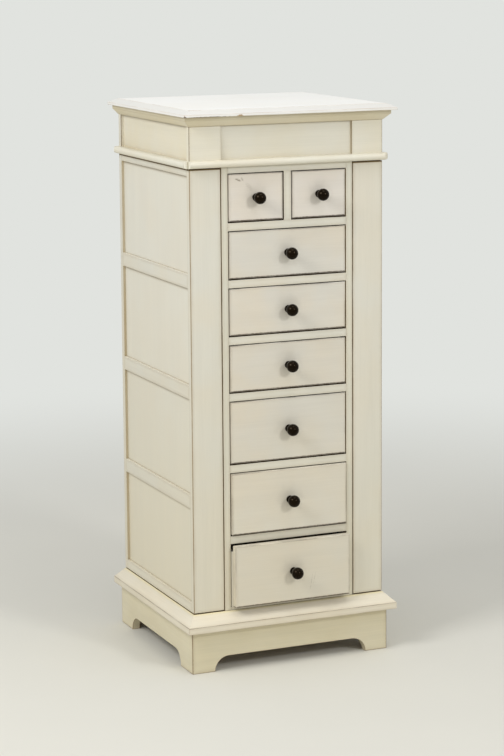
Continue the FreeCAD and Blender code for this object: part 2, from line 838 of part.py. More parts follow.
def hinges():
    """Build the hinge leaves of both doors and the lid."""
    fixed, moving, cranked = hinge_leaves()
    along_y = FreeCAD.Vector(0, 1, 0)
    lowest = door_bottom + size["hinge_end"]
    pitch = (door_top - size["hinge_end"] - lowest) / (DOOR_HINGES - 1)
    levels = [lowest + pitch * number for number in range(DOOR_HINGES)]
    fixed_copies = []
    for side, sign, angle in (("left", -1, 0), ("right", 1, 180)):
        moving_copies = []
        for level in levels:
            at = (hinge_axis_x * sign, hinge_axis_y, level)
            fixed_copies.append(turned(fixed, along_y, angle, at))
            moving_copies.append(turned(moving, along_y, angle, at))
        leaves = doc.addObject("Part::Feature", "door_hinge_leaves")
        leaves.Shape = Part.makeCompound(moving_copies)
        node(leaves, f"door_{side}_hinge_leaves")
    lid_copies = []
    for sign in (-1, 1):
        at = (size["lid_hinge_spread"] * sign, hinge_axis_y, lid_axis_z)
        fixed_copies.append(turned(fixed, along_y, 90, at))
        upright = turned(cranked, along_y, 90, (0, 0, 0))
        lid_copies.append(turned(upright, FreeCAD.Vector(1, 0, 0), 90, at))
    for label, copies in (("hinge_fixed_leaves", fixed_copies), ("lid_hinge_leaves", lid_copies)):
        leaves = doc.addObject("Part::Feature", label)
        leaves.Shape = Part.makeCompound(copies)
        node(leaves, label)


def turn_knob(body):
    """Turn a knob about its own axis, which points along -Y from the drawer front."""
    ball = size["knob_ball_radius"]
    centre = -size["knob_ball_centre"]
    collar = size["knob_collar_radius"]
    collar_face = -size["knob_collar_thickness"]
    rounding = size["knob_collar_round"]
    neck = size["knob_neck_radius"]
    meet = Length((ball.number ** 2 - neck.number ** 2) ** 0.5,
                  f"sqrt({ball.text} ^ 2 - {neck.text} ^ 2)")
    corners = [(0, 0), (0, collar), (collar_face + rounding, collar),
               (collar_face, collar - rounding), (collar_face, neck), (centre + meet, neck),
               (centre - ball, 0)]
    arcs = {
        2: ((collar_face + rounding, collar - rounding), rounding, 1),
        5: ((centre, 0), ball, 1),
    }
    sketch = draw(body, "YZ_Plane", 0, corners, arcs)
    turning = body.newObject("PartDesign::Revolution", "turning")
    turning.Profile = sketch
    turning.ReferenceAxis = (sketch, ["H_Axis"])
    turning.Angle = 360
    return turning


def drawer(label, left, right, floor, height, open_by):
    """Build one drawer: front, box and knob, in the opening between left and right."""
    gap = size["drawer_gap"]
    face = front_y - open_by
    front_back = face + size["drawer_front"]
    front = doc.addObject("PartDesign::Body", "drawer_front")
    feature = pad(front, "XZ_Plane", -front_back, size["drawer_front"],
                  rectangle(left + gap, floor + gap, right - gap, floor + height - gap))
    level = face.number

    def on_face(point):
        """Tell whether a point lies on the drawer's front face."""
        return near(point.y, level)

    ease(front, feature, "Chamfer", size["eased_edge"], on_face)
    node(front, f"{label}_front")

    low_x = left + size["box_play"]
    high_x = right - size["box_play"]
    back = back_panel_front - size["drawer_back_gap"] - open_by
    low_z = floor + size["box_lift"]
    high_z = floor + height - size["box_headroom"]
    side = size["box_side"]
    bottom_z = low_z + size["box_bottom_rise"]
    walls = [
        block((low_x, front_back, low_z), (low_x + side, back, high_z), "side"),
        block((high_x - side, front_back, low_z), (high_x, back, high_z), "side"),
        block((low_x + side, back - side, low_z), (high_x - side, back, high_z), "back"),
    ]
    groove = size["bottom_groove"]
    bottom_low = (low_x + side - groove, front_back, bottom_z)
    bottom_high = (high_x - side + groove, back - side + groove, bottom_z + size["box_bottom"])
    grooved = cut(group("walls", walls), block(bottom_low, bottom_high, "groove"))
    bottom = block(bottom_low, bottom_high, "bottom")
    node(group("drawer_box", [grooved, bottom]), f"{label}_box")

    knob = doc.addObject("PartDesign::Body", "knob")
    turn_knob(knob)
    place(knob, ((left + right) / 2, face, floor + height / 2))
    node(knob, f"{label}_knob")


def drawers():
    """Build the six wide drawers and the two small ones in the top row."""
    openings = {0: size["bottom_drawer_open"], 1: size["sixth_drawer_open"]}
    closed = as_length(0)
    for row in range(row_count - 1):
        drawer(f"drawer_{row_count - row}", -partition_inner, partition_inner, row_floors[row],
               row_heights[row], openings.get(row, closed))
    half_mullion = size["mullion_width"] / 2
    drawer("drawer_1_left", -partition_inner, -half_mullion, row_floors[-1], row_heights[-1],
           closed)
    drawer("drawer_1_right", half_mullion, partition_inner, row_floors[-1], row_heights[-1],
           closed)


def build():
    """Build every piece of the chest."""
    for side in ("front", "left", "right", "back"):
        plinth_board(side)
    plinth_blocks()
    base_cap()
    carcass()
    face_frame()
    drawer_runners()
    frieze()
    bead = (size["bead_height"] - size["bead_flat"]) / 2
    mouldings("bead_moulding", body_top, size["bead_height"], size["bead_reach"], "Fillet",
              [(body_top, bead), (bead_top, bead)])
    mouldings("bed_moulding", bed_bottom, size["bed_height"], size["bed_reach"], "Chamfer",
              [(bed_bottom, size["bed_reach"] - size["bed_quirk"])])
    lid()
    top_compartment()
    door("left", -1)
    door("right", 1)
    door_catches()
    hinges()
    drawers()
    doc.recompute()


def check():
    """Stop if any object failed or any piece is not a valid shape."""
    for thing in doc.Objects:
        if "Invalid" in thing.State or "Error" in thing.State:
            raise RuntimeError(f"{thing.Name} ({thing.Label}) failed: {thing.State}")
    for piece in nodes:
        if piece.Shape.isNull() or not piece.Shape.isValid() or not piece.Shape.Solids:
            raise RuntimeError(f"{piece.Label} has no valid solid")


def write():
    """Write each piece to its own STEP file."""
    os.makedirs("parts", exist_ok=True)
    for piece in nodes:
        piece.Shape.exportStep(f"parts/{piece.Label}.step")
    print(len(nodes), "nodes")


build()
check()
write()
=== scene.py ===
"""The looks of a painted jewelry chest: its finishes, eased edges, linings and small hardware.

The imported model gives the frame: x to the chest's right, y to its back and z up, in metres. Each
piece made here sits at the origin with its place in its mesh, and rides on one of the bodies.
"""

import json
import logging
import math
import random
from collections.abc import Iterable, Iterator, Sequence
from dataclasses import dataclass, field
from enum import Enum
from functools import cache

import bmesh
import bpy
from bmesh.types import BMEdge, BMesh, BMFace
from mathutils import Matrix, Vector

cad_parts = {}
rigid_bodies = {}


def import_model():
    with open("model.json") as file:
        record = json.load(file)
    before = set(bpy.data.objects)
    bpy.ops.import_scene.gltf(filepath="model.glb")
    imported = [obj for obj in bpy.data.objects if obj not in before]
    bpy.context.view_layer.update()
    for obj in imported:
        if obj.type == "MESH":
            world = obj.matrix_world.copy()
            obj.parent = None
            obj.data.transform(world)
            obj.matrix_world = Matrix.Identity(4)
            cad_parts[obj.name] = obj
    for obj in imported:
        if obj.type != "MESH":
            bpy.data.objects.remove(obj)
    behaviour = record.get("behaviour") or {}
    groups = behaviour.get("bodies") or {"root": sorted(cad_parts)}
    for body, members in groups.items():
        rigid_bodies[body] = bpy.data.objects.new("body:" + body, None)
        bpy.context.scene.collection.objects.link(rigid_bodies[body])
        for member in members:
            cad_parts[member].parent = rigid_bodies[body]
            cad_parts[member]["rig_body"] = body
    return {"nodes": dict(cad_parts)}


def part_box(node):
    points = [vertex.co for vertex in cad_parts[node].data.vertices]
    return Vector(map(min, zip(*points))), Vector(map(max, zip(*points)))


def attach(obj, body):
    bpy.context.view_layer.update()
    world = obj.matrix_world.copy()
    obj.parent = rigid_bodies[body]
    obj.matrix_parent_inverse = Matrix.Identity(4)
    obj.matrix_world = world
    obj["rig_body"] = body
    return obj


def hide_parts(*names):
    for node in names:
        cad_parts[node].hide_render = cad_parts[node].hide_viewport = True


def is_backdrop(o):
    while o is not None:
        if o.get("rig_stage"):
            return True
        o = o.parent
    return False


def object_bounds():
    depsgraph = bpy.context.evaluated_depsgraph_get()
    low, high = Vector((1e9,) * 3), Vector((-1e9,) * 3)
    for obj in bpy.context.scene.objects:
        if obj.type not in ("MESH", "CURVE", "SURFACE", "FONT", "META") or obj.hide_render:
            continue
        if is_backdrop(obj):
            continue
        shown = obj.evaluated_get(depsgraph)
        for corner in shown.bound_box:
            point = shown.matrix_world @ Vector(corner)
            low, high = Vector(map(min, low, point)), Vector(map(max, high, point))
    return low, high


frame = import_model()
cad_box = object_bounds()

MM = 0.001
X, Y, Z = range(3)
DIGITS = 6
WELD = 0.001 * MM
ON_PLANE = 5 * WELD
SAME_SIDE = math.radians(14)
FLAT = math.radians(0.2)

log = logging.getLogger("jewelry_chest")

Colour = tuple[float, float, float]
Material = bpy.types.Material
Socket = bpy.types.NodeSocket
Inputs = bpy.types.NodeInputs
Value = Socket | float | Sequence[float]
Box = tuple[Vector, Vector]


def swatch(red: int, green: int, blue: int) -> Colour:
    """Return a screen colour in linear light.

    Args:
        red, green, blue: The colour's levels, from 0 to 255.

    Returns:
        The same colour as shader sockets take it.
    """
    shares = (level / 255 for level in (red, green, blue))
    return tuple(
        share / 12.92 if share <= 0.04045 else ((share + 0.055) / 1.055) ** 2.4 for share in shares
    )


class Side(Enum):
    """A side of the chest, with the sign of its x."""

    LEFT = -1
    RIGHT = 1

    @property
    def word(self) -> str:
        """The side's name as the nodes spell it."""
        return self.name.lower()


class Facing(Enum):
    """A way that a face can look."""

    LEFT = (-1, 0, 0)
    RIGHT = (1, 0, 0)
    FRONT = (0, -1, 0)
    BACK = (0, 1, 0)
    DOWN = (0, 0, -1)
    UP = (0, 0, 1)


class Grain(Enum):
    """The way that a board's grain and its brush marks run."""

    LENGTH = "the board's longest way"
    UPRIGHT = "up and down"


class Eased(Enum):
    """Which edges of a board are rounded over."""

    ALL = "every sharp outer edge"
    OUTLINE = "only the edges of the board's own box"


class Graph:
    """A node tree, with short ways to add nodes and feed their sockets."""

    def __init__(self, tree: bpy.types.NodeTree) -> None:
        """Wrap a node tree."""
        self.tree = tree

    def add(self, kind: str, **settings: object) -> bpy.types.Node:
        """Add a node.

        Args:
            kind: The node's type, such as ShaderNodeMath.
            settings: Properties to set on it.

        Returns:
            The new node.
        """
        node = self.tree.nodes.new(kind)
        for name, setting in settings.items():
            setattr(node, name, setting)
        return node

    def feed(self, socket: Socket, value: Value) -> None:
        """Link a socket to another one, or set its value.

        Args:
            socket: The input to feed.
            value: An output socket, a number, a vector or a colour.
        """
        if isinstance(value, Socket):
            self.tree.links.new(value, socket)
        elif socket.type == "RGBA" and len(value) == 3:
            socket.default_value = (*value, 1)
        else:
            socket.default_value = value

    def fed(self, kind: str, *values: Value, **settings: object) -> bpy.types.Node:
        """Add a node and feed its first inputs.

        Args:
            kind: The node's type.
            values: What its first inputs get, in order.
            settings: Properties to set on it.

        Returns:
            The new node.
        """
        node = self.add(kind, **settings)
        for socket, value in zip(node.inputs, values):
            self.feed(socket, value)
        return node

    def calc(self, operation: str, *values: Value) -> Socket:
        """Return the result of a Math node on some values."""
        return self.fed("ShaderNodeMath", *values, operation=operation).outputs[0]

    def times(self, first: Value, second: Value) -> Socket:
        """Return a product."""
        return self.calc("MULTIPLY", first, second)

    def plus(self, first: Value, second: Value) -> Socket:
        """Return a sum."""
        return self.calc("ADD", first, second)

    def minus(self, first: Value, second: Value) -> Socket:
        """Return a difference."""
        return self.calc("SUBTRACT", first, second)

    def line(self, value: Value, slope: Value, start: Value) -> Socket:
        """Return a value times a slope, plus a start."""
        return self.calc("MULTIPLY_ADD", value, slope, start)

    def most(self, first: Value, second: Value) -> Socket:
        """Return the larger value."""
        return self.calc("MAXIMUM", first, second)

    def least(self, first: Value, second: Value) -> Socket:
        """Return the smaller value."""
        return self.calc("MINIMUM", first, second)

    def wander(self, noise: Value, reach: Value) -> Socket:
        """Return a noise as a shift to either side, by up to half its reach."""
        return self.times(self.minus(noise, 0.5), reach)

    def point(self) -> Socket:
        """Return the place on the chest, in metres."""
        return self.add("ShaderNodeTexCoord").outputs["Object"]

    def move(self, operation: str, *values: Value) -> Socket:
        """Return the vector from a Vector Math node on some vectors."""
        return self.fed("ShaderNodeVectorMath", *values, operation=operation).outputs[0]

    def length(self, vector: Value) -> Socket:
        """Return the length of a vector."""
        return self.fed("ShaderNodeVectorMath", vector, operation="LENGTH").outputs["Value"]

    def scaled(self, vector: Value, factor: Value) -> Socket:
        """Return a vector or colour times one number.

        Args:
            vector: The vector or colour.
            factor: The number.

        Returns:
            The product.
        """
        node = self.fed("ShaderNodeVectorMath", vector, operation="SCALE")
        self.feed(node.inputs["Scale"], factor)
        return node.outputs[0]

    def fade(self, value: Value, start: Value, end: Value) -> Socket:
        """Return a smooth step from 0 where value is start to 1 where it is end."""
        node = self.fed("ShaderNodeMapRange", value, start, end, interpolation_type="SMOOTHSTEP")
        return node.outputs[0]

    def mix(self, share: Value, first: Value, second: Value) -> Socket:
        """Return a blend of two colours, the second one where share is 1.

        Args:
            share: How much of the second colour there is.
            first, second: The colours.

        Returns:
            The blended colour.
        """
        node = self.add("ShaderNodeMix", data_type="RGBA")
        for name, value in (("Factor_Float", share), ("A_Color", first), ("B_Color", second)):
            socket = next(each for each in node.inputs if each.identifier == name)
            self.feed(socket, value)
        return next(each for each in node.outputs if each.identifier == "Result_Color")

    def noise(self, place: Value, scale: Value, detail: float = 2.0,
              roughness: float = 0.5) -> Socket:
        """Return a noise from 0 to 1.

        Args:
            place: Where the noise is read, in metres.
            scale: How many of its lumps fit in a metre.
            detail: How many finer octaves it has.
            roughness: How strong the finer octaves are.

        Returns:
            The noise's value.
        """
        node = self.add("ShaderNodeTexNoise")
        self.feed(node.inputs["Vector"], place)
        self.feed(node.inputs["Scale"], scale)
        node.inputs["Detail"].default_value = detail
        node.inputs["Roughness"].default_value = roughness
        return node.outputs[0]

    def drawn_out(self, place: Value, seed: Value, lumps: tuple[float, float], detail: float,
                  roughness: float) -> Socket:
        """Return a noise that is drawn out along a board.

        Args:
            place: The place on the board, along and across it.
            seed: What sets one board's noise apart from another's.
            lumps: How many of its lumps fit in a metre, along and across.
            detail: How many finer octaves it has.
            roughness: How strong the finer octaves are.

        Returns:
            The noise's value.
        """
        along, across, _ = self.split(place)
        spot = self.joined(self.times(along, lumps[0]), self.times(across, lumps[1]), seed)
        return self.noise(spot, 1, detail, roughness)

    def split(self, vector: Value) -> Sequence[Socket]:
        """Return a vector's three parts."""
        return self.fed("ShaderNodeSeparateXYZ", vector).outputs

    def joined(self, *parts: Value) -> Socket:
        """Return the vector of up to three parts."""
        return self.fed("ShaderNodeCombineXYZ", *parts).outputs[0]

    def blend(self, share: Value, first: Socket, second: Socket, surface: Socket) -> None:
        """Feed a surface with a blend of two shaders, the second one where share is 1."""
        self.feed(surface, self.fed("ShaderNodeMixShader", share, first, second).outputs[0])

    def use(self, effect: "Effect", **given: Value) -> bpy.types.NodeOutputs:
        """Place an effect in this tree.

        Args:
            effect: The effect.
            given: Values for its inputs, by their names with underscores for spaces.

        Returns:
            Its outputs, by name.
        """
        node = self.add("ShaderNodeGroup", node_tree=effect.tree)
        for name, value in given.items():
            self.feed(node.inputs[name.replace("_", " ")], value)
        return node.outputs


class Effect(Graph):
    """A shader node group with named inputs and outputs, for what several finishes share."""

    def __init__(self, name: str, vectors: Sequence[str], numbers: Sequence[str],
                 results: Sequence[str]) -> None:
        """Make an empty group.

        Args:
            name: The effect's name.
            vectors: The names of its inputs that are vectors.
            numbers: The names of its inputs that are numbers.
            results: The names of its outputs, which are numbers.
        """
        tree = bpy.data.node_groups.new(name, "ShaderNodeTree")
        for way, kind, labels in (("INPUT", "NodeSocketVector", vectors),
                                  ("INPUT", "NodeSocketFloat", numbers),
                                  ("OUTPUT", "NodeSocketFloat", results)):
            for label in labels:
                tree.interface.new_socket(name=label, in_out=way, socket_type=kind)
        super().__init__(tree)
        self.given = self.add("NodeGroupInput").outputs
        self.result = self.add("NodeGroupOutput").inputs

    def give(self, **results: Value) -> "Effect":
        """Feed the outputs, by their names.

        Args:
            results: Each output's value.

        Returns:
            The effect itself.
        """
        for name, value in results.items():
            self.feed(self.result[name], value)
        return self


@cache
def border_distances() -> Effect:
    """Return the effect that measures how far a point is from its face's four borders.

    Returns:
        The effect, which gives the four distances and the nearest.
    """
    effect = Effect("border distances", ("Place", "Reach"), (),
                    ("Start", "End", "Low", "High", "Nearest"))
    along, across, _ = effect.split(effect.given["Place"])
    half_length, half_width, _ = effect.split(effect.given["Reach"])
    start, end = effect.plus(half_length, along), effect.minus(half_length, along)
    low, high = effect.plus(half_width, across), effect.minus(half_width, across)
    nearest = effect.least(effect.least(start, end), effect.least(low, high))
    return effect.give(Start=start, End=end, Low=low, High=high, Nearest=nearest)


@cache
def rubbed_edges() -> Effect:
    """Return the effect that finds where an edge is rubbed through, in broken lines.

    Returns:
        The effect, which gives a mask from 0 to 1.
    """
    effect = Effect("rubbed edges", ("Place", "Reach", "Rub", "Point"), ("Last Rub", "Width"),
                    ("Mask",))
    contrast = 1.5
    core = 0.2
    least_wear = 0.2
    given = effect.given
    width = given["Width"]
    borders = effect.use(border_distances(), Place=given["Place"], Reach=given["Reach"])
    coarse = effect.noise(given["Point"], scale=14, detail=3, roughness=0.6)
    wander = effect.wander(effect.noise(given["Point"], scale=260, detail=2), width)

    def present(rub: Value, start: float, end: float) -> Socket:
        """Return where an edge's coarse lumps are rubbed, which are more where rub is higher."""
        shifted = effect.line(coarse, contrast, effect.minus(rub, contrast / 2))
        return effect.fade(shifted, start, end)

    start, end, low = effect.split(given["Rub"])
    edge = effect.split(given["Reach"])[2]
    wear = effect.line(start, 1 - least_wear, least_wear)
    mask = effect.times(effect.times(present(start, 0.1, 0.7), edge), wear)
    for name, rub in (("Start", start), ("End", end), ("Low", low), ("High", given["Last Rub"])):
        close = effect.fade(effect.plus(borders[name], wander), width, effect.times(width, core))
        line = effect.times(close, effect.times(present(rub, 0.25, 0.85), rub))
        mask = effect.most(mask, line)
    return effect.give(Mask=mask)


@cache
def settled_glaze() -> Effect:
    """Return the effect that finds where glaze has gathered along a face's borders.

    Returns:
        The effect, which gives a mask from 0 to 1.
    """
    effect = Effect("settled glaze", ("Place", "Reach", "Point"), ("Lap", "Width"), ("Mask",))
    unevenness = 0.9
    curve = 1.7
    given = effect.given
    borders = effect.use(border_distances(), Place=given["Place"], Reach=given["Reach"])
    lumps = effect.noise(given["Point"], scale=22, detail=3, roughness=0.6)
    inward = effect.plus(effect.minus(borders["Nearest"], given["Lap"]),
                         effect.times(effect.wander(lumps, given["Width"]), unevenness))
    near = effect.fade(inward, given["Width"], 0)
    return effect.give(Mask=effect.calc("POWER", near, curve))


@cache
def brush_marks() -> Effect:
    """Return the effect that draws a brush's marks along a board.

    Returns:
        The effect, which gives wide streaks and the bristles' fine lines.
    """
    effect = Effect("brush marks", ("Place",), ("Tone",), ("Streak", "Bristles"))
    boards_apart = 40
    bristle_share = 0.4
    place = effect.given["Place"]
    seed = effect.times(effect.given["Tone"], boards_apart)
    broad = effect.drawn_out(place, seed, lumps=(3.2, 46), detail=3, roughness=0.6)
    bristles = effect.drawn_out(place, seed, lumps=(11, 520), detail=2, roughness=0.6)
    both = effect.line(bristles, bristle_share, effect.times(broad, 1 - bristle_share))
    return effect.give(Streak=effect.fade(both, 0.3, 0.7), Bristles=bristles)


@cache
def clouds() -> Effect:
    """Return the effect that shades a finish in wide soft patches.

    Returns:
        The effect, which gives a shade from 0 to 1.
    """
    effect = Effect("clouds", ("Point",), ("Tone",), ("Shade",))
    boards_apart = 7
    seed = effect.times(effect.given["Tone"], boards_apart)
    spot = effect.move("ADD", effect.given["Point"], effect.joined(seed, seed, seed))
    patches = effect.noise(spot, scale=7, detail=3, roughness=0.55)
    return effect.give(Shade=effect.fade(patches, 0.32, 0.68))


@cache
def scuff_mark() -> Effect:
    """Return the effect that draws one small scuff or scratch on a face.

    Returns:
        The effect, which gives a mask from 0 to 1.
    """
    effect = Effect("scuff mark", ("Place", "Centre"), ("Angle", "Length", "Width"), ("Mask",))
    given = effect.given
    offset = effect.move("SUBTRACT", given["Place"], given["Centre"])
    turn = effect.add("ShaderNodeVectorRotate", rotation_type="Z_AXIS")
    effect.feed(turn.inputs["Vector"], offset)
    effect.feed(turn.inputs["Angle"], given["Angle"])
    wobble = effect.noise(offset, scale=420, detail=2)
    along, across, _ = effect.split(turn.outputs[0])
    shifted = effect.plus(across, effect.wander(wobble, given["Width"]))
    distance = effect.length(effect.joined(effect.calc("DIVIDE", along, given["Length"]),
                                           effect.calc("DIVIDE", shifted, given["Width"])))
    core = 0.4
    mark = effect.fade(distance, 1, core)
    return effect.give(Mask=effect.times(mark, effect.fade(wobble, 0.3, 0.6)))


@cache
def wood_grain() -> Effect:
    """Return the effect that draws straight grain with short dark pores.

    Returns:
        The effect, which gives the grain's figure and its pores.
    """
    effect = Effect("wood grain", ("Place",), ("Tone",), ("Figure", "Pores"))
    boards_apart = 60
    line_share = 0.45
    place = effect.given["Place"]
    seed = effect.times(effect.given["Tone"], boards_apart)
    bands = effect.drawn_out(place, seed, lumps=(1.6, 26), detail=4, roughness=0.65)
    lines = effect.drawn_out(place, seed, lumps=(4, 230), detail=3, roughness=0.65)
    pores = effect.drawn_out(place, seed, lumps=(70, 1500), detail=1, roughness=0.65)
    figure = effect.line(lines, line_share, effect.times(bands, 1 - line_share))
    return effect.give(Figure=effect.fade(figure, 0.32, 0.66),
                       Pores=effect.fade(pores, 0.62, 0.74))


@cache
def specks() -> Effect:
    """Return the effect that scatters fine dust and pits.

    Returns:
        The effect, which gives a mask from 0 to 1.
    """
    effect = Effect("specks", ("Point",), ("Scale",), ("Mask",))
    grains = effect.noise(effect.given["Point"], effect.given["Scale"], detail=1)
    patches = effect.noise(effect.given["Point"], scale=30, detail=2)
    return effect.give(
        Mask=effect.times(effect.fade(grains, 0.6, 0.72), effect.fade(patches, 0.4, 0.7)))


class FaceData:
    """What a material reads of the face that it is on: see Dresser for how it is written."""

    def __init__(self, graph: Graph) -> None:
        """Add the nodes that read a face's place, reach, tone and rub to a material.

        Args:
            graph: The material's graph.
        """
        self.graph = graph
        self.place = graph.add("ShaderNodeUVMap", uv_map="place").outputs[0]
        reach = graph.add("ShaderNodeAttribute", attribute_name="reach").outputs
        self.reach = reach["Vector"]
        self.tone = reach["Alpha"]
        rub = graph.add("ShaderNodeAttribute", attribute_name="rub").outputs
        self.rub = rub["Vector"]
        self.last_rub = rub["Alpha"]
        self.point = graph.point()

    def shade(self) -> Socket:
        """Return how the face lies in the finish's wide soft patches."""
        return self.graph.use(clouds(), Point=self.point, Tone=self.tone)["Shade"]

    def settled(self, width: float, lap: float = 0.0) -> Socket:
        """Return where glaze has gathered along the borders, which a groove may overlap."""
        return self.graph.use(settled_glaze(), Place=self.place, Reach=self.reach,
                              Point=self.point, Lap=lap, Width=width)["Mask"]


def new_material(name: str) -> tuple[Material, Graph, Inputs]:
    """Make a material with its shader.

    Args:
        name: The material's name.

    Returns:
        The material, its graph, and the inputs of its Principled BSDF.
    """
    material = bpy.data.materials.new(name)
    material.use_nodes = True
    return material, Graph(material.node_tree), material.node_tree.nodes["Principled BSDF"].inputs


def add_bump(graph: Graph, shader: Inputs, height: Value, depth: float) -> None:
    """Give a shader a bump.

    Args:
        graph: The material's graph.
        shader: The shader's inputs.
        height: The height, from 0 to 1.
        depth: The height in metres where it is 1.
    """
    bump = graph.add("ShaderNodeBump")
    bump.inputs["Distance"].default_value = depth
    graph.feed(bump.inputs["Height"], height)
    graph.feed(shader["Normal"], bump.outputs[0])


@dataclass(frozen=True)
class Scuff:
    """One small mark on a face, placed from the face's centre along and across its board."""

    along: float
    across: float
    length: float
    width: float
    angle: float = 0.0
    strength: float = 0.5


@dataclass(frozen=True)
class Stain:
    """A band of painted shade across a board: between two levels along one axis."""

    axis: int
    start: float
    end: float
    blur: float = 0.3 * MM
    colour: Colour = swatch(62, 48, 34)
    strength: float = 1.0

    def over(self, graph: Graph, point: Value, colour: Value) -> Socket:
        """Return the colour with the painted shade over it.

        Args:
            graph: The material's graph.
            point: The place on the chest.
            colour: The colour so far.

        Returns:
            The stained colour.
        """
        level = graph.split(point)[self.axis]
        after = graph.fade(level, self.start, self.start + self.blur)
        before = graph.fade(level, self.end, self.end - self.blur)
        share = graph.times(graph.times(after, before), self.strength)
        return graph.mix(share, colour, self.colour)


@dataclass(frozen=True)
class Chip:
    """A spot of wear, stain or painted shadow, by its place on the chest and reach on x, y, z."""

    spot: tuple[float, float, float]
    reach: tuple[float, float, float]
    colour: Colour = swatch(84, 62, 42)
    strength: float = 0.85
    raggedness: float = 1.2

    def over(self, graph: Graph, point: Value, colour: Value) -> Socket:
        """Return the colour with the spot over it.

        Args:
            graph: The material's graph.
            point: The place on the chest.
            colour: The colour so far.

        Returns:
            The marked colour.
        """
        share = graph.move("DIVIDE", graph.move("SUBTRACT", point, self.spot), self.reach)
        ragged = graph.line(graph.noise(point, scale=400, detail=2), self.raggedness,
                            -self.raggedness / 2)
        distance = graph.plus(graph.length(share), ragged)
        mask = graph.times(graph.fade(distance, 1, 0.55), self.strength)
        return graph.mix(mask, colour, self.colour)


@dataclass(frozen=True)
class Finish:
    """A finish of one of the chest's materials."""

    name: str

    def material(self) -> Material:
        """Return the finish as a material.

        Returns:
            The material.
        """
        material, graph, shader = new_material(self.name)
        self.apply(graph, shader)
        return material

    def apply(self, graph: Graph, shader: Inputs) -> None:
        """Feed the shader's inputs, as each finish does in its own way.

        Args:
            graph: The material's graph.
            shader: The shader's inputs.
        """
        raise NotImplementedError


